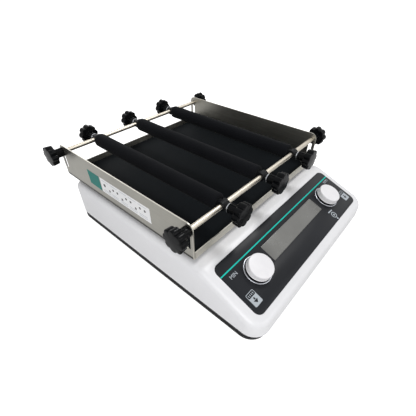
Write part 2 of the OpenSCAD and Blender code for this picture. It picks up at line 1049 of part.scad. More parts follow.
stud_out = 10;
stud_chamfer = 0.6;

// A rod between the side walls, with a thinner stud through each slot
module cross_rod(y) {
    inner = tray_w - 2 * sheet - 2 * seat_gap;
    outer = tray_w + 2 * stud_out;
    color([0.78, 0.78, 0.78])
        translate([tray_x, y, rod_z])
            along_x() {
                cylinder(r = rod_r, h = inner, center = true);
                cylinder(r = stud_r, h = outer - 2 * stud_chamfer, center = true);
                for (s = [-1, 1])
                    translate([0, 0, s * (outer / 2 - stud_chamfer / 2)])
                        cylinder(r1 = stud_r - (s < 0 ? stud_chamfer : 0),
                                 r2 = stud_r - (s > 0 ? stud_chamfer : 0),
                                 h = stud_chamfer, center = true);
            }
}

lobe_r = 6.2;
rib_w = 2;
rib_out = 0.8;
head_flare = 2;
head_dome = 3;
head_round = 1;
head_sphere_r = (star_r * star_r + head_dome * head_dome) / (2 * head_dome);
hub_bore_l = stud_out + sheet;

module star_outline() {
    for (i = [0:star_lobes - 1])
        rotate([0, 0, 360 * i / star_lobes])
            translate([star_r - lobe_r, 0])
                circle(lobe_r, $fn = 32);
    circle(star_r - lobe_r);
}

// The head's turned envelope: flared flank, rounded rim and a low dome
module head_envelope() {
    rotate_extrude()
        intersection() {
            polygon([
                [0, 0],
                [star_r - head_flare, 0],
                [star_r, head_t - head_dome - head_round],
                [star_r, head_t - head_dome],
                [star_r - head_round, head_t - head_dome + head_round],
                [star_r - head_round, head_t],
                [0, head_t]
            ]);
            translate([0, head_t - head_sphere_r])
                circle(head_sphere_r, $fn = 192);
        }
}

// A star knob along +Z with the foot of its hub at zero
module star_knob(bore_l, stud_l) {
    difference() {
        union() {
            cylinder(r = hub_r, h = hub_l);
            for (i = [0:star_lobes - 1])
                rotate([0, 0, 360 * i / star_lobes])
                    translate([0, -rib_w / 2, 0])
                        cube([hub_r + rib_out, rib_w, hub_l]);
            translate([0, 0, hub_l])
                intersection() {
                    linear_extrude(head_t)
                        star_outline();
                    head_envelope();
                }
        }
        if (bore_l > 0)
            translate([0, 0, -over])
                cylinder(r = stud_r + run_fit, h = bore_l + over);
    }
    if (stud_l > 0)
        translate([0, 0, -stud_l])
            cylinder(r = stud_r, h = stud_l + over);
}

module rod_knob(side, y) {
    x = tray_x + side * (tray_w / 2 + seat_gap);
    color([0.08, 0.08, 0.09])
        translate([x, y, rod_z])
            rotate([0, side * 90, 0])
                star_knob(hub_bore_l, 0);
}

clamp_r = 6;
clamp_tuck = 4.5;
clamp_in = foam_gap + clamp_tuck;
core_r = 4;
core_socket = 6;
foam_round = 3;

// A clamp block: a boss across on the rod and a barrel along the bar, tucked into the foam
module clamp_block() {
    difference() {
        union() {
            along_x()
                cylinder(r = clamp_boss_r, h = clamp_w, center = true);
            translate([0, -clamp_out, 0])
                along_y()
                    cylinder(r = clamp_r, h = clamp_out + clamp_in);
        }
        along_x()
            cylinder(r = rod_r + run_fit, h = clamp_w + over, center = true);
        translate([0, -clamp_out - over, 0])
            along_y()
                cylinder(r = stud_r + run_fit, h = clamp_out + over);
        translate([0, clamp_in - core_socket, 0])
            along_y()
                cylinder(r = core_r + run_fit, h = core_socket + over);
    }
}

// Both ends of a bar: the rear one is the front one turned round
module both_ends(x) {
    translate([tray_x + x, front_rod_y, rod_z])
        children();
    translate([tray_x + x, rear_rod_y, rod_z])
        rotate([0, 0, 180])
            children();
}

module bar_clamps(x) {
    color([0.09, 0.09, 0.1])
        both_ends(x)
            clamp_block();
}

module bar_washers(x) {
    color([0.8, 0.8, 0.8])
        both_ends(x)
            translate([0, -clamp_out - washer_t, 0])
                along_y()
                    tube(washer_r, stud_r + seat_gap, washer_t);
}

module bar_core(x) {
    ends = clamp_in - core_socket + seat_gap;
    color([0.75, 0.75, 0.75])
        translate([tray_x + x, front_rod_y + ends, rod_z])
            along_y()
                cylinder(r = core_r, h = rear_rod_y - front_rod_y - 2 * ends);
}

module bar_foam(x) {
    length = rear_rod_y - front_rod_y - 2 * foam_gap;
    socket = clamp_tuck + seat_gap;
    color([0.09, 0.09, 0.1])
        translate([tray_x + x, front_rod_y + foam_gap, rod_z])
            along_y()
                rotate_extrude()
                    difference() {
                        union() {
                            square([foam_r - foam_round, length]);
                            translate([0, foam_round])
                                square([foam_r, length - 2 * foam_round]);
                            for (y = [foam_round, length - foam_round])
                                translate([foam_r - foam_round, y])
                                    circle(foam_round);
                        }
                        translate([-foam_r, -over])
                            square([foam_r + core_r + run_fit, length + 2 * over]);
                        translate([-foam_r, -over])
                            square([foam_r + clamp_r + run_fit, over + socket]);
                        translate([-foam_r, length - socket])
                            square([foam_r + clamp_r + run_fit, over + socket]);
                    }
}

module bar_knob(x, y, turn) {
    color([0.08, 0.08, 0.09])
        translate([tray_x + x, y, rod_z])
            rotate([0, 0, turn])
                translate([0, -clamp_out - washer_t - seat_gap, 0])
                    rotate([90, 0, 0])
                        star_knob(0, clamp_out + washer_t + seat_gap - rod_r - seat_gap);
}

pcb_supply_w = 50;
pcb_supply_l = 100;
pcb_supply_t = 1.6;
supply_side_inset = 34;
supply_rear_inset = 98;
supply_x = base_w / 2 - supply_side_inset;
supply_y = base_d / 2 - supply_rear_inset;
supply_foot_h = 6;
supply_foot_r = 3;
coil_r = 11;
coil_h = 22;
can_r = 7;
can_h = 26;

module power_supply() {
    color([0.15, 0.4, 0.25])
        translate([supply_x, supply_y, inside_z]) {
            translate([-pcb_supply_w / 2, -pcb_supply_l / 2, supply_foot_h])
                cube([pcb_supply_w, pcb_supply_l, pcb_supply_t]);
            for (x = [-1, 1], y = [-1, 1])
                translate([x * (pcb_supply_w / 2 - supply_foot_r), y * (pcb_supply_l / 2 - supply_foot_r), 0])
                    cylinder(r = supply_foot_r, h = supply_foot_h);
            translate([-pcb_supply_w / 2 + coil_r, 0, supply_foot_h])
                cylinder(r = coil_r, h = coil_h);
            for (y = [-1, 1])
                translate([can_r, y * (pcb_supply_l / 2 - 2 * can_r), supply_foot_h])
                    cylinder(r = can_r, h = can_h);
        }
}

// Every piece is moved so that the origin lies under the middle of the object
module place() {
    translate([-tray_x, -origin_y, 0])
        children();
}

place() base_plate();
place() housing();
place() rubber_feet();
place() housing_screws();
place() control_panel();
place() display_window();
place() dial_rings();
place() display_board();
place() dial_encoders();
place() motor();
place() drive_belt();
place() bearing_block();
place() shaft_bearings();
place() guide_blocks();
place() power_supply();
place() power_inlet();
place() switch_frame();
place() power_rocker();
place() motor_pulley();
place() main_crank();
place() counterweight();
place() guide_crank(0);  // guide_crank_front
place() guide_crank(1);  // guide_crank_left
place() guide_crank(2);  // guide_crank_right
place() carrier();
place() carrier_bearings();
place() support_posts();
place() tray();
place() tray_mat();
place() tray_screws();
place() cross_rod(front_rod_y);  // front_rod
place() cross_rod(rear_rod_y);  // rear_rod
place() rod_knob(-1, front_rod_y);  // rod_knob_front_left
place() rod_knob(1, front_rod_y);  // rod_knob_front_right
place() rod_knob(-1, rear_rod_y);  // rod_knob_rear_left
place() rod_knob(1, rear_rod_y);  // rod_knob_rear_right
place() bar_core(bar_1_x);  // bar_1_core
place() bar_core(bar_2_x);  // bar_2_core
place() bar_core(bar_3_x);  // bar_3_core
place() bar_foam(bar_1_x);  // bar_1_foam
place() bar_foam(bar_2_x);  // bar_2_foam
place() bar_foam(bar_3_x);  // bar_3_foam
place() bar_clamps(bar_1_x);  // bar_1_clamps
place() bar_clamps(bar_2_x);  // bar_2_clamps
place() bar_clamps(bar_3_x);  // bar_3_clamps
place() bar_washers(bar_1_x);  // bar_1_washers
place() bar_washers(bar_2_x);  // bar_2_washers
place() bar_washers(bar_3_x);  // bar_3_washers
place() bar_knob(bar_1_x, front_rod_y, 0);  // bar_1_knob_front
place() bar_knob(bar_1_x, rear_rod_y, 180);  // bar_1_knob_rear
place() bar_knob(bar_2_x, front_rod_y, 0);  // bar_2_knob_front
place() bar_knob(bar_2_x, rear_rod_y, 180);  // bar_2_knob_rear
place() bar_knob(bar_3_x, front_rod_y, 0);  // bar_3_knob_front
place() bar_knob(bar_3_x, rear_rod_y, 180);  // bar_3_knob_rear
place() dial_rotor(-1);  // time_rotor
place() dial_shaft(-1);  // time_shaft
place() dial(-1);  // time_dial
place() dial_rotor(1);  // speed_rotor
place() dial_shaft(1);  // speed_shaft
place() dial(1);  // speed_dial
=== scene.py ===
import math
import bpy
import bmesh
from mathutils import Matrix, Vector


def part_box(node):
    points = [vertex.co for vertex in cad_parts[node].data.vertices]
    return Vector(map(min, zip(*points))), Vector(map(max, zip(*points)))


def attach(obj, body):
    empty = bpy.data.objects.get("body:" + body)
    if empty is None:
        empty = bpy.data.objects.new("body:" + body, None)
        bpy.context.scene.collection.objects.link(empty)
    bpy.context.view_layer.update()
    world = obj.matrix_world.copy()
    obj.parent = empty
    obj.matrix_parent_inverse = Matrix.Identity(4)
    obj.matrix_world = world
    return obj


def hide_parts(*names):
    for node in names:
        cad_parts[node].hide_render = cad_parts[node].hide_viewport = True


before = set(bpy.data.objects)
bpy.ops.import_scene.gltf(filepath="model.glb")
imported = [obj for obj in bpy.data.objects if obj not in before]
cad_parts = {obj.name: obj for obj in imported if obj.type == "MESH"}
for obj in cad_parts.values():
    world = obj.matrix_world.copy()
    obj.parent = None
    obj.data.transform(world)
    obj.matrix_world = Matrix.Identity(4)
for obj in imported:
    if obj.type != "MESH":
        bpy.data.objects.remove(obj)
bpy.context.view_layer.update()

mm = 0.001
scene = bpy.context.scene
finishes = {}


# sRGB hex to the linear colour that the shaders use
def linear(code):
    parts = [int(code[i:i + 2], 16) / 255 for i in (1, 3, 5)]
    return [p / 12.92 if p <= 0.04045 else ((p + 0.055) / 1.055) ** 2.4 for p in parts] + [1.0]


# Adds a node: inputs are plain values or sockets to link, settings are its own properties
def addNode(tree, kind, inputs=None, settings=None):
    node = tree.nodes.new(kind)
    for name, value in (settings or {}).items():
        setattr(node, name, value)
    for name, value in (inputs or {}).items():
        if isinstance(value, bpy.types.NodeSocket):
            tree.links.new(value, node.inputs[name])
        else:
            node.inputs[name].default_value = value
    return node


# The result of a maths node
def mathNode(tree, operation, first, second=0.0):
    return addNode(tree, "ShaderNodeMath", {0: first, 1: second}, {"operation": operation}).outputs[0]


# Two colours mixed by a share
def mixColours(tree, share, first, second):
    return addNode(tree, "ShaderNodeMix", {0: share, 6: first, 7: second}, {"data_type": "RGBA"}).outputs[2]


# The emptied node tree of a material or a world
def emptyTree(holder):
    holder.use_nodes = True
    holder.node_tree.nodes.clear()
    return holder.node_tree


# A finish from its look, with every size in mm: colour drift, gloss drift and fine relief, then a
# painted shade low on the outer faces and painted highlights on rims where the look has them
def makeFinish(name, look):
    material = bpy.data.materials.new(name)
    tree = emptyTree(material)
    grainScale = 1 / (look["grain"] * mm)
    place = addNode(tree, "ShaderNodeTexCoord").outputs["Object"]
    drawn = addNode(tree, "ShaderNodeMapping",
                    {"Vector": place, "Scale": look.get("stretch", (1, 1, 1))}).outputs["Vector"]
    drift = addNode(tree, "ShaderNodeTexNoise",
                    {"Vector": place, "Scale": 1 / (look["drift"] * mm), "Detail": 3.0}).outputs["Fac"]
    grain = addNode(tree, "ShaderNodeTexNoise",
                    {"Vector": drawn, "Scale": grainScale, "Detail": 4.0}).outputs["Fac"]
    if look.get("pattern") == "cells":
        relief = addNode(tree, "ShaderNodeTexVoronoi",
                         {"Vector": drawn, "Scale": grainScale}).outputs["Distance"]
    elif look.get("pattern") == "ribs":
        # One wave of this texture is a twentieth of its scale's unit times two pi
        relief = addNode(tree, "ShaderNodeTexWave",
                         {"Vector": drawn, "Scale": 2 * math.pi / (20 * look["pitch"] * mm)},
                         {"bands_direction": look["across"]}).outputs["Fac"]
    else:
        relief = grain
    mixed = addNode(tree, "ShaderNodeMix", {0: look.get("grainShare", 0.3), 2: drift, 3: grain},
                    {"data_type": "FLOAT"}).outputs[0]
    # The noise keeps mostly to this middle range, which is spread over the whole drift
    middle = {"Value": mixed, "From Min": 0.3, "From Max": 0.7}
    spread = addNode(tree, "ShaderNodeMapRange", middle).outputs["Result"]
    colour = mixColours(tree, spread, linear(look["dark"]), linear(look["light"]))
    # Painted shade: the outer walls take the shade colour towards their bottom, standing in for the shade
    # between the tray and the housing
    if "low" in look:
        bottom, top, side, shade = look["low"]
        axes = addNode(tree, "ShaderNodeSeparateXYZ", {0: place}).outputs
        share = addNode(tree, "ShaderNodeMapRange",
                        {"Value": axes["Z"], "From Min": bottom * mm, "From Max": top * mm,
                         "To Min": 1.0, "To Max": 0.0},
                        {"interpolation_type": "SMOOTHSTEP"}).outputs["Result"]
        outer = mathNode(tree, "GREATER_THAN", mathNode(tree, "ABSOLUTE", axes["X"]), side * mm)
        colour = mixColours(tree, mathNode(tree, "MULTIPLY", share, outer), colour, linear(shade))
        # Painted highlights: a lighter colour past each limit, standing in for light on the walls' top edges
        # and the front lip
        for axis, test, limit, bright in look["paintedHighlights"]:
            past = mathNode(tree, test, axes[axis], limit * mm)
            colour = mixColours(tree, past, colour, linear(bright))
    smooth, dull = look["rough"]
    gloss = addNode(tree, "ShaderNodeMapRange",
                    {**middle, "To Min": smooth, "To Max": dull}).outputs["Result"]
    bump = addNode(tree, "ShaderNodeBump",
                   {"Height": relief, "Distance": look["relief"] * mm,
                    "Strength": look.get("strength", 0.6)}).outputs["Normal"]
    surface = addNode(tree, "ShaderNodeBsdfPrincipled",
                      {"Base Color": colour, "Roughness": gloss, "Normal": bump,
                       "Metallic": look.get("metal", 0.0)})
    for socket, value in look.get("shader", {}).items():
        surface.inputs[socket].default_value = value
    addNode(tree, "ShaderNodeOutputMaterial", {"Surface": surface.outputs["BSDF"]})
    finishes[name] = material


looks = {
    # Moulded ABS, eggshell texture: soft wide highlights, hardly any colour of its own
    "housingAbsEggshell": {"dark": "#E0E0E3", "light": "#E7E7E9", "drift": 90, "grain": 0.9,
                           "rough": (0.30, 0.40), "relief": 0.012, "shader": {"IOR": 1.53}},
    # Glass-filled nylon base: nearly black, dry, with a faint grain
    "baseNylonMoulded": {"dark": "#0F1012", "light": "#17181A", "drift": 40, "grain": 0.8,
                         "rough": (0.42, 0.58), "relief": 0.02, "shader": {"Specular IOR Level": 0.25}},
    # Screen-printed polyester film: dark slate, satin, with a fine pebble
    "panelPolyesterFilm": {"dark": "#121418", "light": "#191B20", "drift": 60, "grain": 0.35,
                           "rough": (0.34, 0.46), "relief": 0.012, "shader": {"Specular IOR Level": 0.2}},
    # Cast acrylic window over an unlit display: a warm mid grey, quite glossy
    "windowAcrylic": {"dark": "#6E6E6B", "light": "#787875", "drift": 45, "grain": 1.2,
                      "rough": (0.22, 0.30), "relief": 0.002, "shader": {"IOR": 1.49}},
    # Screen inks on the film: thin, even and satin
    "inkTeal": {"dark": "#06BAAB", "light": "#0DCCBD", "drift": 30, "grain": 0.5,
                "rough": (0.35, 0.45), "relief": 0.004, "shader": {"Specular IOR Level": 0.15}},
    "inkWhite": {"dark": "#A0A7AE", "light": "#B2B9BF", "drift": 30, "grain": 0.5,
                 "rough": (0.35, 0.45), "relief": 0.004},
    "inkBlack": {"dark": "#0E0E10", "light": "#18181B", "drift": 30, "grain": 0.5,
                 "rough": (0.4, 0.5), "relief": 0.004},
    # Vinyl labels: smooth with a slight film gloss
    "vinylTeal": {"dark": "#036C64", "light": "#087C73", "drift": 25, "grain": 0.5,
                  "rough": (0.28, 0.36), "relief": 0.004, "shader": {"Specular IOR Level": 0.08}},
    "vinylWhite": {"dark": "#E4E4E6", "light": "#ECECED", "drift": 25, "grain": 0.5,
                   "rough": (0.28, 0.36), "relief": 0.004},
    # Moulded ABS dial: white, satin, a little warmer than the housing
    "dialAbsSatin": {"dark": "#E5E4E7", "light": "#ECEBED", "drift": 12, "grain": 0.5,
                     "rough": (0.34, 0.46), "relief": 0.008, "shader": {"IOR": 1.53}},
    # Turned and anodised aluminium: pale, with fine turning lines
    "ringAnodisedAluminium": {"dark": "#A4A6AC", "light": "#BCBEC4", "drift": 10, "grain": 0.5,
                              "rough": (0.22, 0.34), "relief": 0.006, "metal": 1.0},
    # Brushed 304 stainless sheet: warm grey, drawn out along the brushing. A painted shade darkens the outer
    # walls low down, where shade falls between them and the housing under the tray ("low": from z to z, past
    # x), and painted highlights lighten it past the limits of its rims: the walls' cut top edges and the
    # front lip
    "trayStainlessBrushed": {"dark": "#8F8D86", "light": "#ABA9A1", "drift": 130, "grain": 1.0,
                             "grainShare": 0.55, "stretch": (1, 0.03, 1), "rough": (0.32, 0.46),
                             "relief": 0.008, "metal": 1.0, "low": (100.5, 103.5, 169.0, "#3E3D3A"),
                             "paintedHighlights": (("Z", "GREATER_THAN", 159.4, "#C6C3BA"),
                                      ("Y", "LESS_THAN", -122.5, "#BDBAB0"))},
    # Centreless-ground stainless rod: bright, with a soft long highlight
    "rodStainlessGround": {"dark": "#BEB7AA", "light": "#CBC4B7", "drift": 30, "grain": 0.6,
                           "grainShare": 0.15, "stretch": (4, 1, 1), "rough": (0.37, 0.42),
                           "relief": 0.0005, "metal": 1.0},
    # Zinc-plated steel: cool and slightly patchy
    "screwZincPlated": {"dark": "#A8ABAF", "light": "#C3C6C9", "drift": 4, "grain": 0.6,
                        "rough": (0.28, 0.42), "relief": 0.006, "metal": 1.0},
    # Nitrile rubber mat: black and matt, with fine ribs 3 mm apart
    "matNitrileRibbed": {"dark": "#0D1013", "light": "#13171A", "drift": 80, "grain": 1.0,
                         "pattern": "ribs", "pitch": 3.0, "across": "X", "rough": (0.52, 0.66),
                         "relief": 0.10, "strength": 0.35, "shader": {"Specular IOR Level": 0.04}},
    # Closed-cell nitrile foam: black, dry, open pores in a skin that scatters a little light
    "foamNitrileClosedCell": {"dark": "#0D0E11", "light": "#141518", "drift": 35, "grain": 0.7,
                              "pattern": "cells", "rough": (0.78, 0.92), "relief": 0.12,
                              "shader": {"Specular IOR Level": 0.05, "Sheen Weight": 0.02,
                                         "Sheen Roughness": 0.5}},
    # Moulded phenolic knob: black with a low polish on the lobes
    "knobPhenolicMoulded": {"dark": "#07080A", "light": "#0C0D0F", "drift": 9, "grain": 0.6,
                            "rough": (0.14, 0.24), "relief": 0.01, "shader": {"Specular IOR Level": 0.075}},
    # Moulded nylon clamp: black and drier than the knobs
    "clampNylonMoulded": {"dark": "#0A0B0D", "light": "#111215", "drift": 9, "grain": 0.6,
                          "rough": (0.34, 0.5), "relief": 0.02, "shader": {"Specular IOR Level": 0.12}},
    # Moulded nitrile foot: matt black
    "footRubberMoulded": {"dark": "#151516", "light": "#1E1E20", "drift": 12, "grain": 0.8,
                          "rough": (0.7, 0.85), "relief": 0.03},
    # Polycarbonate power fittings: black, semi-gloss
    "fittingPolycarbonate": {"dark": "#0E0E10", "light": "#151517", "drift": 8, "grain": 0.5,
                             "rough": (0.3, 0.42), "relief": 0.01},
    # Sand-cast aluminium blocks: dull grey with a coarse skin
    "blockCastAluminium": {"dark": "#8E9093", "light": "#A6A8AA", "drift": 14, "grain": 1.2,
                           "rough": (0.5, 0.68), "relief": 0.07, "metal": 1.0},
    # Machined steel crank and pulleys
    "crankMachinedSteel": {"dark": "#9B9DA1", "light": "#B7B9BC", "drift": 10, "grain": 0.5,
                           "rough": (0.24, 0.36), "relief": 0.006, "metal": 1.0},
    # Ground bearing races
    "raceBearingSteel": {"dark": "#B4B6B9", "light": "#CDCFD1", "drift": 8, "grain": 0.4,
                         "rough": (0.14, 0.22), "relief": 0.002, "metal": 1.0},
    # Painted motor can
    "motorEnamelledSteel": {"dark": "#26272B", "light": "#303236", "drift": 20, "grain": 0.8,
                            "rough": (0.3, 0.42), "relief": 0.02},
    # Neoprene belt, cloth-faced
    "beltNeoprene": {"dark": "#141414", "light": "#1D1D1D", "drift": 8, "grain": 0.5,
                     "rough": (0.65, 0.8), "relief": 0.04},
    # Woven glass and epoxy board with green resist
    "boardGlassEpoxy": {"dark": "#0F4A2C", "light": "#166038", "drift": 10, "grain": 0.6,
                        "rough": (0.3, 0.42), "relief": 0.01},
    # Moulded grey acetal rotor and encoder case
    "encoderAcetal": {"dark": "#4A4B4E", "light": "#5A5B5E", "drift": 6, "grain": 0.5,
                      "rough": (0.4, 0.52), "relief": 0.01},
}
for finishName, finishLook in looks.items():
    makeFinish(finishName, finishLook)
print("finishes:", len(finishes))


# A plain mesh from a bmesh, with smooth faces and hard edges past the angle
def closeShape(name, shape, sharp=35):
    mesh = bpy.data.meshes.new(name)
    shape.to_mesh(mesh)
    shape.free()
    mesh.shade_smooth()
    mesh.set_sharp_from_angle(angle=math.radians(sharp))
    return mesh


# An object for a mesh, before it is a piece
def newObject(name, mesh):
    thing = bpy.data.objects.new(name, mesh)
    scene.collection.objects.link(thing)
    return thing


# An object's mesh as its modifiers or its curve make it
def evaluatedMesh(thing):
    bpy.context.view_layer.update()
    graph = bpy.context.evaluated_depsgraph_get()
    return bpy.data.meshes.new_from_object(thing.evaluated_get(graph), depsgraph=graph)


# Turns an object's modifiers into a plain mesh
def bakeShape(thing):
    mesh = evaluatedMesh(thing)
    thing.modifiers.clear()
    thing.data = mesh


# Keeps the mesh that an object makes and drops the object
def takeMesh(thing):
    mesh = evaluatedMesh(thing)
    bpy.data.objects.remove(thing)
    return mesh


# Rounded edges of a width in mm where faces meet past an angle, and even shading on flat faces
def softenEdges(thing, width, segments=2, angle=40):
    bevel = thing.modifiers.new("edges", "BEVEL")
    bevel.width = width * mm
    bevel.segments = segments
    bevel.limit_method = "ANGLE"
    bevel.angle_limit = math.radians(angle)
    bevel.miter_outer = "MITER_ARC"
    even = thing.modifiers.new("even", "WEIGHTED_NORMAL")
    even.keep_sharp = True
    bakeShape(thing)


# Makes an object a piece of the part: its finish, its body and what it stands for
def makePiece(thing, finish, body, slotName, *replaced):
    thing.data.materials.clear()
    thing.data.materials.append(finishes[finish])
    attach(thing, body)
    if replaced:
        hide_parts(*replaced)


# A point in metres at a turn about +Z, from its radius and height in mm
def turnedPoint(radius, turn, height):
    return (radius * mm * math.cos(turn), radius * mm * math.sin(turn), height * mm)


# Faces between pairs of rings of points, where a ring may be a single point
def joinRings(shape, pairs, steps):
    for low, high in pairs:
        for i in range(steps):
            j = i + 1
            corners = [low[i % len(low)], low[j % len(low)], high[j % len(high)], high[i % len(high)]]
            distinct = list(dict.fromkeys(corners))
            if len(distinct) > 2:
                shape.faces.new(distinct)
    bmesh.ops.recalc_face_normals(shape, faces=shape.faces)


# A turned shape about +Z from (radius, height) points in mm; both ends close on the axis or each other
def turnShape(points, steps=64):
    shape = bmesh.new()
    rings = []
    for radius, height in points:
        count = steps if radius > 0 else 1
        rings.append([shape.verts.new(turnedPoint(radius, 2 * math.pi * i / steps, height))
                      for i in range(count)])
    pairs = list(zip(rings, rings[1:]))
    if len(rings[0]) > 1 and len(rings[-1]) > 1:
        pairs.append((rings[-1], rings[0]))
    joinRings(shape, pairs, steps)
    return shape


# Points of an arc in mm, as (radius, height), for rounding a turned profile
def arc(centre, radius, start, end, count=5):
    return [(centre[0] + radius * math.cos(math.radians(start + (end - start) * i / count)),
             centre[1] + radius * math.sin(math.radians(start + (end - start) * i / count)))
            for i in range(count + 1)]


# A copy of a CAD node's mesh with its triangles joined up, where points are near (in mm) and faces
# flat (in degrees) to each other
def nodeShape(node, near=0.002, flat=0.4):
    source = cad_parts[node].data
    plain = bpy.data.meshes.new(node + "Plain")
    plain.from_pydata([v.co[:] for v in source.vertices], [], [p.vertices[:] for p in source.polygons])
    shape = bmesh.new()
    shape.from_mesh(plain)
    bmesh.ops.remove_doubles(shape, verts=shape.verts, dist=near * mm)
    bmesh.ops.dissolve_limit(shape, angle_limit=math.radians(flat), verts=shape.verts, edges=shape.edges)
    return shape


# Dresses a CAD node: joined faces, rounded edges and a finish
def dressNode(node, name, finish, body, slotName, edge=0.3, segments=2):
    thing = newObject(name, closeShape(name, nodeShape(node)))
    softenEdges(thing, edge, segments)
    makePiece(thing, finish, body, slotName, node)


# A flat plate from closed outlines in mm (holes inside them stay open), lying on z = 0
def plateMesh(name, outlines, thick, edge=0.0, least=0.001):
    curve = bpy.data.curves.new(name, "CURVE")
    curve.dimensions = "2D"
    curve.fill_mode = "BOTH"
    curve.extrude = max(thick / 2 - edge, least) * mm
    curve.bevel_depth = edge * mm
    curve.bevel_resolution = 1
    curve.offset = -edge * mm
    for outline in outlines:
        spline = curve.splines.new("POLY")
        spline.points.add(len(outline) - 1)
        for point, (x, y) in zip(spline.points, outline):
            point.co = (x * mm, y * mm, 0, 1)
        spline.use_cyclic_u = True
    shape = bmesh.new()
    shape.from_mesh(takeMesh(newObject(name, curve)))
    bmesh.ops.remove_doubles(shape, verts=shape.verts, dist=least * mm)
    bmesh.ops.recalc_face_normals(shape, faces=shape.faces)
    bmesh.ops.translate(shape, vec=(0, 0, thick / 2 * mm), verts=shape.verts)
    return closeShape(name, shape)


# A flat plate as a piece in its place; what dresses it is what makePiece takes
def layPlate(name, outlines, thick, edge, place, *dress):
    plate = newObject(name, plateMesh(name, outlines, thick, edge))
    plate.data.transform(place)
    makePiece(plate, *dress)


# Closed outlines in mm, for plates and cutters
def circleLine(x, y, radius, steps=48):
    turns = [2 * math.pi * i / steps for i in range(steps)]
    return [(x + radius * math.cos(turn), y + radius * math.sin(turn)) for turn in turns]


def roundedLine(width, length, radius, x=0.0, y=0.0, steps=8):
    corners = [(1, 1, 0), (-1, 1, 90), (-1, -1, 180), (1, -1, 270)]
    return [(x + sx * (width / 2 - radius) + radius * math.cos(math.radians(start + 90 * i / steps)),
             y + sy * (length / 2 - radius) + radius * math.sin(math.radians(start + 90 * i / steps)))
            for sx, sy, start in corners for i in range(steps + 1)]


# Joins several meshes, each with its place, into one
def joinMeshes(name, parts, sharp=35):
    shape = bmesh.new()
    for mesh, place in parts:
        placed = mesh.copy()
        placed.transform(place)
        shape.from_mesh(placed)
    return closeShape(name, shape, sharp)


# A turn by degrees about an axis
def turnAbout(degrees, axis):
    return Matrix.Rotation(math.radians(degrees), 4, axis)


# Camera at the photograph's place in mm and degrees, read off the housing's and the tray's edges
camera = {"place": (-354.19, -307.63, 396.83), "yaw": 48.985, "pitch": 39.981, "roll": 0.187,
          "optics": {"lens": 24.83, "sensor_width": 36, "shift_x": -0.0022, "shift_y": 0.0127}}
lensData = bpy.data.cameras.new("camera")
lensData.clip_start = 10 * mm
for name, value in camera["optics"].items():
    setattr(lensData, name, value)
viewer = newObject("camera", lensData)
viewer.matrix_world = (Matrix.Translation(Vector(camera["place"]) * mm)
                       @ turnAbout(-camera["yaw"], "Z")
                       @ turnAbout(90 - camera["pitch"], "X")
                       @ turnAbout(camera["roll"], "Z"))
scene.camera = viewer
print("camera set")

# Housing: a wall and a rounded top edge swept round the plan, then a sloping top with a crest
housing = {"x": 5.0, "y": -23.4, "width": 370.0, "depth": 436.0, "corner": 26.0, "edge": 10.0,
           "low": 26.0, "deck": 90.0, "crest": -139.4, "tilt": 20.5, "crestRound": 28.0, "wall": 4.0,
           "foot": 0.8, "footRound": 0.24, "underEdge": 2.0, "arcSteps": 8, "cornerSteps": 12,
           "sideAhead": 30, "sideNear": 3, "sideBehind": 60, "sideRear": 60, "crestSteps": 8}
panel = {"width": 336.0, "length": 88.0, "radius": 11.0, "margin": 7.4, "recess": 1.0, "gap": 0.25,
         "window": (162.0, 29.0), "windowV": 39.5, "dialU": 115.0, "dialV": 44.5, "dialHole": 5}
dialSpots = [(side * panel["dialU"], panel["dialV"]) for side in (-1, 1)]
tilt = math.radians(housing["tilt"])
slopePlace = (Matrix.Translation(Vector((housing["x"], housing["crest"], housing["deck"])) * mm)
              @ Matrix.Rotation(tilt, 4, "X"))


# A place on the sloping panel: u across, v down from its upper edge, h above it, in mm
def onSlope(u, v, h=0.0):
    return slopePlace @ Matrix.Translation(Vector((u, -panel["margin"] - v, h)) * mm)


# The top's side profile through y: its height and its normal, with the crest rounded over
def topAt(y):
    reach = housing["crestRound"] * math.tan(tilt / 2)
    crest = housing["crest"]
    if y >= crest + reach:
        return housing["deck"], Vector((0, 0, 1))
    if y <= crest - reach * math.cos(tilt):
        return housing["deck"] + (y - crest) * math.tan(tilt), Vector((0, -math.sin(tilt), math.cos(tilt)))
    turn = math.asin((crest + reach - y) / housing["crestRound"])
    return (housing["deck"] - housing["crestRound"] * (1 - math.cos(turn)),
            Vector((0, -math.sin(turn), math.cos(turn))))


# Stations round half the plan, from the middle of the front to the middle of the rear, on the right:
# each is a place inside the edge's rounding and the way out from it
def halfPlan():
    steps = housing["cornerSteps"]
    inner = housing["corner"] - housing["edge"]
    right = housing["width"] / 2 - housing["corner"]
    back = housing["depth"] / 2 - housing["corner"]
    corners = []
    for y, start in ((-back, -90), (back, 0)):
        turns = [math.radians(start + 90 * i / steps) for i in range(steps + 1)]
        corners.append([(right + inner * math.cos(a), y + inner * math.sin(a),
                         Vector((math.cos(a), math.sin(a), 0))) for a in turns])
    reach = housing["crestRound"] * math.tan(tilt / 2)
    crest = housing["crest"] - housing["y"]
    steps = housing["crestSteps"]
    sideYs = [crest - housing["sideAhead"], crest - reach - housing["sideNear"]]
    sideYs += [crest - reach + 2 * reach * i / steps for i in range(steps + 1)]
    sideYs += [crest + reach + housing["sideNear"], crest + housing["sideBehind"], housing["sideRear"]]
    return corners[0] + [(right + inner, y, Vector((1, 0, 0))) for y in sideYs] + corners[1]


# The rolling-ball centre under the top profile at a centre-line y, by halving the range
def ballHeight(y):
    low, high = y - housing["edge"], y + housing["edge"]
    for _ in range(40):
        middle = (low + high) / 2
        if middle - topAt(middle)[1].y * housing["edge"] < y:
            low = middle
        else:
            high = middle
    height, normal = topAt((low + high) / 2)
    return height - normal.z * housing["edge"], normal


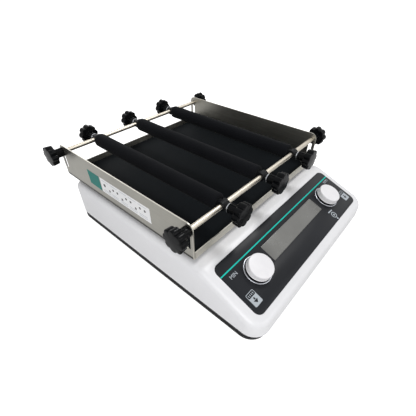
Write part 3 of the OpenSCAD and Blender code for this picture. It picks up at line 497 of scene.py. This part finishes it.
# The housing's outer skin: up the wall, over the rounded edge, and across the top from side to side
def housingShape():
    shape = bmesh.new()
    half = halfPlan()
    loop = half + [(-x, y, Vector((-n.x, n.y, 0))) for x, y, n in reversed(half)]
    centre = Vector((housing["x"], housing["y"], 0))
    edge, low = housing["edge"], housing["low"]
    foot, footRound = housing["foot"], housing["footRound"]
    rings = []
    for x, y, outward in loop:
        height, normal = ballHeight(y + housing["y"])
        spot = centre + Vector((x, y, 0))
        column = [spot + outward * out + Vector((0, 0, up)) for out, up in (
            (edge - foot, low), (edge - footRound, low + footRound), (edge, low + foot),
            (edge, height - housing["underEdge"]))]
        whole = outward.angle(normal)
        for k in range(housing["arcSteps"] + 1):
            t = k / housing["arcSteps"]
            direction = (outward * math.sin((1 - t) * whole) + normal * math.sin(t * whole)) / math.sin(whole)
            column.append(spot + Vector((0, 0, height)) + direction * edge)
        rings.append([shape.verts.new(p * mm) for p in column])
    count = len(rings)
    for i in range(count):
        a, b = rings[i], rings[(i + 1) % count]
        for k in range(len(a) - 1):
            shape.faces.new((a[k], b[k], b[k + 1], a[k + 1]))
    for i in range(len(half) - 1):
        shape.faces.new((rings[i][-1], rings[i + 1][-1], rings[count - 2 - i][-1], rings[count - 1 - i][-1]))
    bmesh.ops.recalc_face_normals(shape, faces=shape.faces)
    top = max(shape.faces, key=lambda f: f.calc_center_median().z)
    if top.normal.z < 0:
        bmesh.ops.reverse_faces(shape, faces=shape.faces)
    return shape


# A cutting block in mm with its own place
def cutterMesh(name, outline, low, high, place):
    shape = bmesh.new()
    bottom = [shape.verts.new((x * mm, y * mm, low * mm)) for x, y in outline]
    top = [shape.verts.new((x * mm, y * mm, high * mm)) for x, y in outline]
    shape.faces.new(bottom[::-1])
    shape.faces.new(top)
    for i in range(len(outline)):
        j = (i + 1) % len(outline)
        shape.faces.new((bottom[i], bottom[j], top[j], top[i]))
    mesh = closeShape(name, shape)
    mesh.transform(place)
    return mesh


shell = newObject("housingShell", closeShape("housingShell", housingShape()))
wall = shell.modifiers.new("wall", "SOLIDIFY")
wall.thickness = housing["wall"] * mm
wall.offset = -1
wall.use_even_offset = True
bakeShape(shell)

# Openings: the panel's recess, the window and dial holes from under the slope to over it, the post
# holes in the deck, and the rear wall's two, as half widths and half heights
openings = {"under": -7, "over": 3, "windowRound": 0.6, "postHole": 15, "postX": (-120, 120),
            "postY": (-66.4, 153.6), "postSpan": (80, 95), "rearY": 194.6, "rearSpan": (-12, 12),
            "rear": {"power_inlet": (13.55, 9.8), "switch_frame": (6.55, 9.75)}}
span = (openings["under"], openings["over"])
recessSize = [size + 2 * panel["gap"] for size in (panel["width"], panel["length"])]
cuts = [cutterMesh("recess", roundedLine(*recessSize, panel["radius"]), -panel["recess"],
                   openings["over"], onSlope(0, panel["length"] / 2)),
        cutterMesh("windowHole", roundedLine(*panel["window"], openings["windowRound"]), *span,
                   onSlope(0, panel["windowV"]))]
for spot in dialSpots:
    cuts.append(cutterMesh("dialHole", circleLine(0, 0, panel["dialHole"]), *span, onSlope(*spot)))
for x in openings["postX"]:
    for y in openings["postY"]:
        cuts.append(cutterMesh("postHole", circleLine(0, 0, openings["postHole"]), *openings["postSpan"],
                               Matrix.Translation(((x + housing["x"]) * mm, y * mm, 0))))
for node, (half, tall) in openings["rear"].items():
    low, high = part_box(node)
    rearPlace = Matrix.Translation(((low.x + high.x) / 2, openings["rearY"] * mm, (low.z + high.z) / 2))
    cuts.append(cutterMesh("powerHole", [(-half, -tall), (half, -tall), (half, tall), (-half, tall)],
                           *openings["rearSpan"], rearPlace @ turnAbout(90, "X")))
for number, mesh in enumerate(cuts):
    cutter = newObject("cutter%d" % number, mesh)
    cut = shell.modifiers.new("cut", "BOOLEAN")
    cut.operation = "DIFFERENCE"
    cut.solver = "EXACT"
    cut.object = cutter
    bakeShape(shell)
    bpy.data.objects.remove(cutter)
shell.data.shade_smooth()
shell.data.set_sharp_from_angle(angle=math.radians(40))
softenEdges(shell, 0.35, angle=55)
makePiece(shell, "housingAbsEggshell", "base", "white_paint", "housing")
print("housing made:", len(shell.data.polygons))

# Panel film with its window and dial holes, and the pane in the window
film = {"seat": 0.02, "under": 0.1, "edge": 0.15, "windowRound": 0.8}
pane = {"gap": 0.4, "round": 0.7, "thick": 0.8, "edge": 0.1}
filmPlace = onSlope(0, 0, -panel["recess"] + film["seat"])
filmLines = [roundedLine(panel["width"], panel["length"], panel["radius"], 0, -panel["length"] / 2, 10),
             roundedLine(*panel["window"], film["windowRound"], 0, -panel["windowV"], 3)]
filmLines += [circleLine(u, -v, panel["dialHole"]) for u, v in dialSpots]
layPlate("panelFilm", filmLines, panel["recess"] - film["under"], film["edge"], filmPlace,
         "panelPolyesterFilm", "base", "panel_film", "control_panel")
paneSize = [size - pane["gap"] for size in panel["window"]]
layPlate("displayPane", [roundedLine(*paneSize, pane["round"], 0, -panel["windowV"], 3)], pane["thick"],
         pane["edge"], filmPlace, "windowAcrylic", "base", "window", "display_window")


# A straight stroke as a closed outline
def strokeLine(x0, y0, x1, y1, width):
    along = Vector((x1 - x0, y1 - y0)).normalized()
    side = Vector((-along.y, along.x)) * width / 2
    return [(x0 + side.x, y0 + side.y), (x0 - side.x, y0 - side.y),
            (x1 - side.x, y1 - side.y), (x1 + side.x, y1 + side.y)]


# Plain words are unit names only, made from Blender's own letters
def wordMesh(word, size, x, y, halfThick=0.03):
    letters = bpy.data.curves.new(word, "FONT")
    letters.body = word
    letters.size = size * mm
    letters.align_x = "CENTER"
    letters.align_y = "CENTER"
    letters.extrude = halfThick * mm
    letters.resolution_u = 3
    mesh = takeMesh(newObject(word, letters))
    mesh.transform(Matrix.Translation((x * mm, y * mm, halfThick * mm)))
    return mesh


# Prints a few hundredths of a millimetre proud of the film: the teal line, two boxes, signs and words
prints = {"thick": 0.06, "lift": -0.08, "lineV": 17.1, "lineWidth": 1.9, "lineInset": 0.3,
          "box": (15.8, 20.4, 1.8), "boxes": ((-152.7, 66.5), (154.6, 66.8)),
          "words": (("MIN", 8.2, -150.0, -26.6), ("RPM", 8.2, 153.5, -23.6))}

# In each box, in mm from its middle and down from its top: a field with four bars, a stem, an arrow
icon = {"field": (14.3, 6.2, 1.2), "fieldDown": 3.9, "bars": (-4.5, -1.5, 1.5, 4.5), "barFoot": 5.3,
        "barTop": 2.5, "barWidth": 1.1, "stem": (2.6, 3.2, 0.3), "stemDown": 10.4, "arrowHalf": 4.2,
        "arrowDown": 12.6, "arrowTip": 17.4}

# Left of the right dial a bar, a ring round a dot, and a smaller dot, one under the other
signs = {"x": 90.3, "barX": (-6.6, 6.4), "barY": (-67.0, -67.9), "barWidth": 2.2, "ringY": -76.3,
         "ringRadii": (6.0, 4.4, 2.0), "dotX": -0.5, "dotY": -84.9, "dotRadius": 1.9}
printPlace = onSlope(0, 0, prints["lift"])
lineEnd = panel["width"] / 2 - prints["lineInset"]
tealLine = strokeLine(-lineEnd, -prints["lineV"], lineEnd, -prints["lineV"], prints["lineWidth"])
layPlate("tealLine", [tealLine], prints["thick"], 0.0, printPlace, "inkTeal", "base", "panel_film")
whiteShapes = []
for x, v in prints["boxes"]:
    top = prints["box"][1] / 2 - v
    half, under = icon["arrowHalf"], top - icon["arrowDown"]
    whiteShapes.append(roundedLine(*prints["box"], x, -v))
    whiteShapes.append(roundedLine(*icon["field"], x, top - icon["fieldDown"]))
    whiteShapes += [strokeLine(x + i, top - icon["barFoot"], x + i, top - icon["barTop"], icon["barWidth"])
                    for i in icon["bars"]]
    whiteShapes += [[(x - half, under), (x + half, under), (x, top - icon["arrowTip"])],
                    roundedLine(*icon["stem"], x, top - icon["stemDown"])]
(startX, endX), (startY, endY) = signs["barX"], signs["barY"]
whiteShapes.append(strokeLine(signs["x"] + startX, startY, signs["x"] + endX, endY, signs["barWidth"]))
whiteShapes += [circleLine(signs["x"], signs["ringY"], radius) for radius in signs["ringRadii"]]
whiteShapes.append(circleLine(signs["x"] + signs["dotX"], signs["dotY"], signs["dotRadius"]))
layPlate("whitePrint", whiteShapes, prints["thick"], 0.0, printPlace, "inkWhite", "base", "panel_film")
wordParts = [(wordMesh(*word), Matrix()) for word in prints["words"]]
words = newObject("unitWords", joinMeshes("unitWords", wordParts))
words.data.transform(printPlace)
makePiece(words, "inkWhite", "base", "panel_film")
print("panel made")


# Ribs round a ring: rounded square bars standing on +Z and facing out, made by Geometry Nodes
def ribTree():
    tree = bpy.data.node_groups.new("ribsRoundRing", "GeometryNodeTree")
    for label, kind in (("Count", "Int"), ("Ring Radius", "Float"), ("Rib Radius", "Float"),
                        ("Roundness", "Float"), ("Start Height", "Float"), ("End Height", "Float"),
                        ("Finish", "Material")):
        tree.interface.new_socket(label, in_out="INPUT", socket_type="NodeSocket" + kind)
    tree.interface.new_socket("Geometry", in_out="OUTPUT", socket_type="NodeSocketGeometry")
    given = addNode(tree, "NodeGroupInput").outputs
    ring = addNode(tree, "GeometryNodeMeshCircle",
                   {"Vertices": given["Count"], "Radius": given["Ring Radius"]})
    low = addNode(tree, "ShaderNodeCombineXYZ", {"Z": given["Start Height"]})
    high = addNode(tree, "ShaderNodeCombineXYZ", {"Z": given["End Height"]})
    spine = addNode(tree, "GeometryNodeCurvePrimitiveLine",
                    {"Start": low.outputs[0], "End": high.outputs[0]})
    width = mathNode(tree, "MULTIPLY", given["Rib Radius"], 2.0)
    rounding = mathNode(tree, "MULTIPLY", given["Rib Radius"], given["Roundness"])
    square = addNode(tree, "GeometryNodeCurvePrimitiveQuadrilateral", {"Width": width, "Height": width})
    section = addNode(tree, "GeometryNodeFilletCurve",
                      {"Curve": square.outputs[0], "Count": 3, "Radius": rounding}, {"mode": "POLY"})
    rib = addNode(tree, "GeometryNodeCurveToMesh",
                  {"Curve": spine.outputs[0], "Profile Curve": section.outputs[0], "Fill Caps": True})
    number = addNode(tree, "GeometryNodeInputIndex").outputs[0]
    step = mathNode(tree, "DIVIDE", 2 * math.pi, given["Count"])
    facing = addNode(tree, "ShaderNodeCombineXYZ", {"Z": mathNode(tree, "MULTIPLY", number, step)})
    copies = addNode(tree, "GeometryNodeInstanceOnPoints",
                     {"Points": ring.outputs[0], "Instance": rib.outputs[0], "Rotation": facing.outputs[0]})
    solid = addNode(tree, "GeometryNodeRealizeInstances", {"Geometry": copies.outputs[0]})
    painted = addNode(tree, "GeometryNodeSetMaterial",
                      {"Geometry": solid.outputs[0], "Material": given["Finish"]})
    addNode(tree, "NodeGroupOutput", {"Geometry": painted.outputs[0]})
    return tree


ribs = ribTree()


# The ribs' mesh, from a value for every input of the tree
def ribMesh(name, values):
    holder = newObject(name, bpy.data.meshes.new(name))
    modifier = holder.modifiers.new("ribs", "NODES")
    modifier.node_group = ribs
    for item in ribs.interface.items_tree:
        if item.in_out == "INPUT":
            modifier[item.identifier] = values[item.name]
    return takeMesh(holder)


# Dials: a smooth slightly domed cap with a finely knurled side. The profile goes from the shaft's
# bore over the hub, the hollow, the foot's band and the skirt to the dome
dial = {"lift": 4.0, "radius": 20.0, "height": 11.5, "dome": 0.9, "round": 1.4, "foot": 1.2, "wall": 2.4,
        "inset": 0.45, "domeSteps": 8, "knurls": 90, "knurlRadius": 0.24, "knurlDepth": 0.12}
skirt = dial["radius"] - dial["inset"]
domeEdge = skirt - dial["round"]
dome = [(r, dial["height"] - dial["dome"] * (r / domeEdge) ** 2)
        for r in [domeEdge * (1 - i / dial["domeSteps"]) for i in range(1, dial["domeSteps"] + 1)]]
shoulder = dial["height"] - dial["dome"] - dial["round"]
dialPoints = ([(0, 8.2), (3.1, 8.2), (3.1, 0.6), (6.0, 0.4), (6.0, 8.0), (skirt - dial["wall"], 8.0),
               (skirt - dial["wall"], 0.2), (dial["radius"] - 0.4, 0.0), (dial["radius"], 0.35),
               (dial["radius"], dial["foot"] - 0.25), (dial["radius"] - 0.25, dial["foot"]),
               (skirt, dial["foot"] + 0.15)] + arc((domeEdge, shoulder), dial["round"], 0, 84, 6) + dome)
dialCap = closeShape("dialCap", turnShape(dialPoints, steps=96), sharp=50)
knurls = ribMesh("knurls", {"Count": dial["knurls"], "Ring Radius": (skirt - dial["knurlDepth"]) * mm,
                            "Rib Radius": dial["knurlRadius"] * mm, "Roundness": 0.9,
                            "Start Height": (dial["foot"] - 0.1) * mm, "End Height": (shoulder + 0.2) * mm,
                            "Finish": finishes["dialAbsSatin"]})
capParts = [(dialCap, Matrix()), (knurls, Matrix())]
for spot, name in zip(dialSpots, ("time", "speed")):
    cap = newObject(name + "Dial", joinMeshes(name + "Dial", capParts, sharp=50))
    cap.data.transform(onSlope(*spot, dial["lift"]))
    makePiece(cap, "dialAbsSatin", name + "_dial", "dial", name + "_dial")

# Silver rings round the dials: a rounded outer land and a chamfered bore
ring = {"outer": 22.5, "inner": 19.9, "height": 1.2, "under": -0.05, "round": 0.8, "chamfer": 0.5}
ringPoints = [(ring["inner"], ring["under"]), (ring["inner"], 0.7),
              (ring["inner"] + ring["chamfer"], ring["height"])]
ringPoints += arc((ring["outer"] - ring["round"], ring["height"] - ring["round"]), ring["round"], 90, 0, 4)
ringPoints.append((ring["outer"], ring["under"]))
ringMesh = closeShape("ringMesh", turnShape(ringPoints, steps=96), sharp=50)
ringParts = [(ringMesh, onSlope(*spot)) for spot in dialSpots]
rings = newObject("dialRings", joinMeshes("dialRings", ringParts, sharp=50))
makePiece(rings, "ringAnodisedAluminium", "base", "silver_ring", "dial_rings")
print("dials made")

# Star knobs: eight broad lobes, a flared flank, a low dome and a ribbed hub. A ring of the head is
# its height over the hub and its share of the lobed outline
star = {"lobes": 8, "reach": 18.25, "lobeRadius": 6.2, "hub": 7.3, "hubLength": 15.0, "head": 13.0,
        "ribs": 8, "ribRadius": 1.2, "ribDepth": 0.35, "perLobe": 16, "tipDrop": 0.2,
        "headRings": ((0.0, 0.84), (0.2, 0.915), (0.8, 0.955), (5.0, 0.975), (10.2, 1.0), (10.9, 0.995),
                      (11.5, 0.97), (11.9, 0.925), (12.05, 0.86), (12.3, 0.62), (12.5, 0.34))}

# Where the top turns from the lobed outline to a circle, by the rings' share, and that circle's reach
topRound = {"below": 0.8, "from": 0.86, "over": 0.5, "reach": 0.92}


# The lobed outline's radius at a turn
def lobeReach(turn):
    step = 2 * math.pi / star["lobes"]
    a = (turn + step / 2) % step - step / 2
    out = star["reach"] - star["lobeRadius"]
    return out * math.cos(a) + math.sqrt(star["lobeRadius"] ** 2 - (out * math.sin(a)) ** 2)


def starMesh():
    shape = bmesh.new()
    steps = star["lobes"] * star["perLobe"]
    turns = [2 * math.pi * i / steps for i in range(steps)]
    hub, base = star["hub"], star["hubLength"]
    hubRings = ((0.0, hub - 0.7), (0.5, hub), (base - 0.9, hub), (base - 0.3, hub + 0.35), (base, hub + 1.0))
    rings = [[shape.verts.new((0, 0, 0))]]
    for height, radius in hubRings:
        rings.append([shape.verts.new(turnedPoint(radius, turn, height)) for turn in turns])
    for height, share in star["headRings"]:
        flat = min(1.0, (topRound["from"] - share) / topRound["over"]) if share < topRound["below"] else 0.0
        circle = topRound["reach"] * star["reach"] * share
        rings.append([shape.verts.new(turnedPoint(lobeReach(turn) * share * (1 - flat) + circle * flat,
                                                  turn, base + height)) for turn in turns])
    rings.append([shape.verts.new((0, 0, (base + star["head"] - star["tipDrop"]) * mm))])
    joinRings(shape, zip(rings, rings[1:]), steps)
    return closeShape("starKnob", shape, sharp=38)


starBody = starMesh()
hubRibs = ribMesh("hubRibs", {"Count": star["ribs"], "Ring Radius": (star["hub"] - star["ribDepth"]) * mm,
                              "Rib Radius": star["ribRadius"] * mm, "Roundness": 0.25,
                              "Start Height": 0.4 * mm, "End Height": star["hubLength"] * mm + 0.2 * mm,
                              "Finish": finishes["knobPhenolicMoulded"]})

# The stud of a bar's knob, from its tip up into the hub, with a crest or a root at every half pitch
stud = {"end": -7.0, "tip": 2.4, "radius": 3.0, "thread": 0.45, "first": -6.6, "halfPitch": 0.5,
        "points": 15, "inside": 0.5}
studPoints = [(0, stud["end"]), (stud["tip"], stud["end"])]
studPoints += [(stud["radius"] - stud["thread"] * (i % 2), stud["first"] + stud["halfPitch"] * i)
               for i in range(stud["points"])]
studMesh = closeShape("knobStud", turnShape(studPoints + [(0, stud["inside"])], steps=32), sharp=60)
knobPlaces = {}
for row in ("front", "rear"):
    for end, way in (("left", (-1, 0, 0)), ("right", (1, 0, 0))):
        knobPlaces["rod_knob_%s_%s" % (row, end)] = ("knob_%s_%s" % (row, end), way)
for bar in (1, 2, 3):
    for end, way in (("front", (0, -1, 0)), ("rear", (0, 1, 0))):
        knobPlaces["bar_%d_knob_%s" % (bar, end)] = ("bar_%d_%s_knob" % (bar, end), way)
knobLength = star["hubLength"] + star["head"]
for node, (body, way) in knobPlaces.items():
    low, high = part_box(node)
    way = Vector(way)
    middle, size = (low + high) / 2, high - low
    headEnd = middle + way * abs(way.dot(size)) / 2
    turn = way.to_track_quat("Z", "Y").to_matrix().to_4x4()
    place = Matrix.Translation(headEnd - way * knobLength * mm) @ turn
    parts = [(starBody, place), (hubRibs, place)]
    if node.startswith("bar"):
        parts.append((studMesh, place))
    knob = newObject("starKnob." + node, joinMeshes("starKnob." + node, parts, 38))
    makePiece(knob, "knobPhenolicMoulded", body, "knob", node)
print("star knobs made:", len(knobPlaces))

# Rods: a ground length between the walls and a threaded stud at each end
rod = {"radius": 4.0, "stud": 3.0, "half": 171.2, "end": 183.0, "pitch": 1.0, "thread": 0.35, "tip": 0.7,
       "chamfer": 0.4, "threadStart": 0.5, "threadStop": 0.6}


# Half the profile goes from an end inwards, and its mirror image gives the other half
def rodMesh():
    half = [(0, rod["end"]), (rod["stud"] - rod["tip"], rod["end"])]
    height = rod["end"] - rod["threadStart"]
    while height > rod["half"] + rod["threadStop"]:
        half += [(rod["stud"], height), (rod["stud"] - rod["thread"], height - rod["pitch"] / 2)]
        height -= rod["pitch"]
    half += [(rod["stud"], rod["half"]), (rod["radius"] - rod["chamfer"], rod["half"]),
             (rod["radius"], rod["half"] - rod["chamfer"])]
    points = [(r, -h) for r, h in half] + half[::-1]
    return closeShape("crossRod", turnShape(points, steps=48), sharp=40)


for node in ("front_rod", "rear_rod"):
    low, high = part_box(node)
    thing = newObject(node.replace("_r", "R"), rodMesh())
    thing.data.transform(Matrix.Translation((low + high) / 2) @ turnAbout(90, "Y"))
    makePiece(thing, "rodStainlessGround", "rods", "rod", node)
print("rods made")

# Foam sleeves: thick tubes with soft ends, sockets for the clamps and a slightly uneven skin
foam = {"radius": 13.0, "bore": 4.1, "socket": 6.1, "socketDepth": 4.8, "round": 3.0, "steps": 64,
        "rings": 60, "uneven": 0.16, "skin": 8, "waveTurn": 0.11, "waveSides": 3}
mouth = [(foam["bore"], foam["socketDepth"]), (foam["socket"], foam["socketDepth"]), (foam["socket"], 0.3),
         (foam["socket"] + 0.4, 0)]
outer = foam["radius"] - foam["uneven"]
endRound = foam["round"]
for bar in (1, 2, 3):
    body = "bar_%d" % bar
    low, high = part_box(body + "_foam")
    length = (high.y - low.y) / mm
    straight = length - 2 * endRound
    points = mouth + arc((outer - endRound, endRound), endRound, -90, 0, 6)
    points += [(outer, endRound + straight * i / foam["rings"]) for i in range(1, foam["rings"])]
    points += arc((outer - endRound, length - endRound), endRound, 0, 90, 6)
    shape = turnShape(points + [(r, length - h) for r, h in reversed(mouth)], foam["steps"])
    for v in shape.verts:
        radius = math.hypot(v.co.x, v.co.y)
        if radius > foam["skin"] * mm:
            lengthwise = math.sin(v.co.z / mm * foam["waveTurn"] + bar)
            roundabout = math.cos(foam["waveSides"] * math.atan2(v.co.y, v.co.x) + bar)
            wave = lengthwise * roundabout * foam["uneven"] * mm
            v.co.x *= 1 + wave / radius
            v.co.y *= 1 + wave / radius
    sleeve = newObject("foamSleeve%d" % bar, closeShape("foamSleeve%d" % bar, shape, sharp=60))
    middle = (low + high) / 2
    sleevePlace = Matrix.Translation((middle.x, low.y, middle.z))
    sleeve.data.transform(sleevePlace @ turnAbout(-90, "X"))
    makePiece(sleeve, "foamNitrileClosedCell", body, "foam", body + "_foam")

    # The clamps on the rods and the washers under their knobs
    dressNode(body + "_clamps", "clampBlocks%d" % bar, "clampNylonMoulded", body, "clamp", 0.8, 3)
    dressNode(body + "_washers", "washers%d" % bar, "screwZincPlated", body, "washer", 0.35)
print("bars made")

# The folded tray and its mat, the base and the power fittings, with how much their edges are rounded
dressings = [
    ("tray", "trayFolded", "trayStainlessBrushed", "platform", "stainless", 0.3),
    ("tray_mat", "trayMat", "matNitrileRibbed", "platform", "mat", 0.5),
    ("base_plate", "baseTub", "baseNylonMoulded", "base", "base_plastic", 0.5),
    ("rubber_feet", "rubberFeet", "footRubberMoulded", "base", "foot_rubber", 0.8),
    ("housing_screws", "housingScrews", "screwZincPlated", "base", "zinc_screw", 0.4),
    ("power_inlet", "powerInlet", "fittingPolycarbonate", "base", "part_plastic", 0.3),
    ("switch_frame", "switchFrame", "fittingPolycarbonate", "base", "part_plastic", 0.3),
    ("power_rocker", "powerRocker", "fittingPolycarbonate", "rocker", "part_plastic", 0.3)]
for dressing in dressings:
    dressNode(*dressing)
print("tray and base made")

# Label on the tray's left wall, in mm along it and up from its corner: a plain teal block and a
# plain white strip
label = {"corner": (-173.01, -123.9, 96.0), "thick": 0.15, "inkThick": 0.05, "inkLift": 0.14,
         "teal": [(-248.6, 45.4), (-247.2, 18.6), (-212.6, 17.4), (-214.1, 44.9)],
         "white": [(-211.0, 45.5), (-211.0, 17.2), (-85.5, 17.0), (-85.5, 45.4)]}
wallPlace = (Matrix.Translation(Vector(label["corner"]) * mm)
             @ turnAbout(-90, "Z") @ turnAbout(90, "X"))
for name, colour, finish in (("labelTeal", "teal", "vinylTeal"), ("labelWhite", "white", "vinylWhite")):
    layPlate(name, [label[colour]], label["thick"], 0.0, wallPlace, finish, "platform", "stainless")

# Plain dots and rules on the white strip, where the real one carries small print
marks = {"bigDot": (-200.0, 33.5, 3.0, 24), "dots": 9, "firstX": -187.0, "apart": 11.2, "high": 34.5,
         "low": 28.0, "dotRadius": 2.2, "rules": (41.5, 24.0, 20.5), "ruleX": (-206.0, -187.0),
         "ruleApart": 23.4, "ruleWidth": 0.9, "rulesAcross": 5}
dotLines = [circleLine(*marks["bigDot"])]
dotLines += [circleLine(marks["firstX"] + marks["apart"] * i, marks["high"] if i % 3 else marks["low"],
                        marks["dotRadius"], 16) for i in range(marks["dots"])]
ruleLines = []
for z in marks["rules"]:
    for i in range(marks["rulesAcross"]):
        start, end = [x + marks["ruleApart"] * i for x in marks["ruleX"]]
        ruleLines.append(strokeLine(start, z, end, z, marks["ruleWidth"]))
inkPlace = wallPlace @ Matrix.Translation((0, 0, label["inkLift"] * mm))
for name, outlines, finish in (("labelDots", dotLines, "inkBlack"), ("labelRules", ruleLines, "inkWhite")):
    layPlate(name, outlines, label["inkThick"], 0.0, inkPlace, finish, "platform", "stainless")

# The CAD nodes that stay as they are, by finish
nodeFinishes = {
    "boardGlassEpoxy": ("display_board", "power_supply"), "motorEnamelledSteel": ("motor",),
    "encoderAcetal": ("dial_encoders", "time_rotor", "speed_rotor"), "beltNeoprene": ("drive_belt",),
    "blockCastAluminium": ("bearing_block", "guide_blocks", "carrier"),
    "raceBearingSteel": ("shaft_bearings", "carrier_bearings"), "screwZincPlated": ("tray_screws",),
    "crankMachinedSteel": ("motor_pulley", "main_crank", "counterweight", "guide_crank_front",
                           "guide_crank_left", "guide_crank_right", "support_posts", "time_shaft",
                           "speed_shaft"),
    "rodStainlessGround": ("bar_1_core", "bar_2_core", "bar_3_core")}
for finish, nodes in nodeFinishes.items():
    for node in nodes:
        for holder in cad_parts[node].material_slots:
            holder.material = finishes[finish]
print("CAD nodes dressed:", sum(len(nodes) for nodes in nodeFinishes.values()))


# The kinds of ray that a tree can tell apart, and one for those that show a surface and don't light it
def seenRays(tree):
    rays = addNode(tree, "ShaderNodeLightPath").outputs
    seen = mathNode(tree, "MAXIMUM", rays["Is Camera Ray"], rays["Is Glossy Ray"])
    return rays, mathNode(tree, "MAXIMUM", seen, rays["Is Transmission Ray"])


# Floor, world and soft lamps: how bright the floor glows where it is seen, less in reflections, and
# how bright the room is where it only lights the part
stage = {"floorSize": 30.0, "paper": "#D8D8D8", "light": "#FFFFFF", "glow": 0.86, "lessInGloss": 0.5,
         "room": 0.42}
floorShape = bmesh.new()
bmesh.ops.create_grid(floorShape, x_segments=1, y_segments=1, size=stage["floorSize"])
floor = newObject("floor", closeShape("floor", floorShape))
floorFinish = bpy.data.materials.new("floorPaper")
tree = emptyTree(floorFinish)
rays, seen = seenRays(tree)
glow = mathNode(tree, "SUBTRACT", mathNode(tree, "MULTIPLY", seen, stage["glow"]),
                mathNode(tree, "MULTIPLY", rays["Is Glossy Ray"], stage["lessInGloss"]))
paper = addNode(tree, "ShaderNodeBsdfDiffuse", {"Color": linear(stage["paper"])})
shine = addNode(tree, "ShaderNodeEmission", {"Color": linear(stage["light"]), "Strength": glow})
both = addNode(tree, "ShaderNodeAddShader", {0: paper.outputs[0], 1: shine.outputs[0]})
addNode(tree, "ShaderNodeOutputMaterial", {"Surface": both.outputs[0]})
floor.data.materials.append(floorFinish)

sky = bpy.data.worlds.new("paleRoom")
scene.world = sky
tree = emptyTree(sky)
rays, seen = seenRays(tree)
level = addNode(tree, "ShaderNodeMapRange",
                {"Value": seen, "To Min": stage["room"], "To Max": 1.0}).outputs["Result"]
back = addNode(tree, "ShaderNodeBackground", {"Color": linear(stage["light"]), "Strength": level})
addNode(tree, "ShaderNodeOutputWorld", {"Surface": back.outputs[0]})

# Square area lamps: place and size in metres, power in watts
lamps = {"key": ((0.6, -0.15, 1.3), 0.26, 6.2), "front": ((0.4, -1.3, 0.7), 0.6, 2.4),
         "fill": ((-1.1, -0.7, 0.7), 0.8, 9.0), "rear": ((0.35, 1.4, 0.55), 0.9, 3.6)}
for name, (place, size, power) in lamps.items():
    data = bpy.data.lights.new(name, "AREA")
    data.shape = "SQUARE"
    data.size = size
    data.energy = power
    light = newObject(name, data)
    aim = Vector(place).to_track_quat("Z", "Y").to_matrix().to_4x4()
    light.matrix_world = Matrix.Translation(place) @ aim
scene.view_settings.view_transform = "Standard"
print("stage and lamps set")
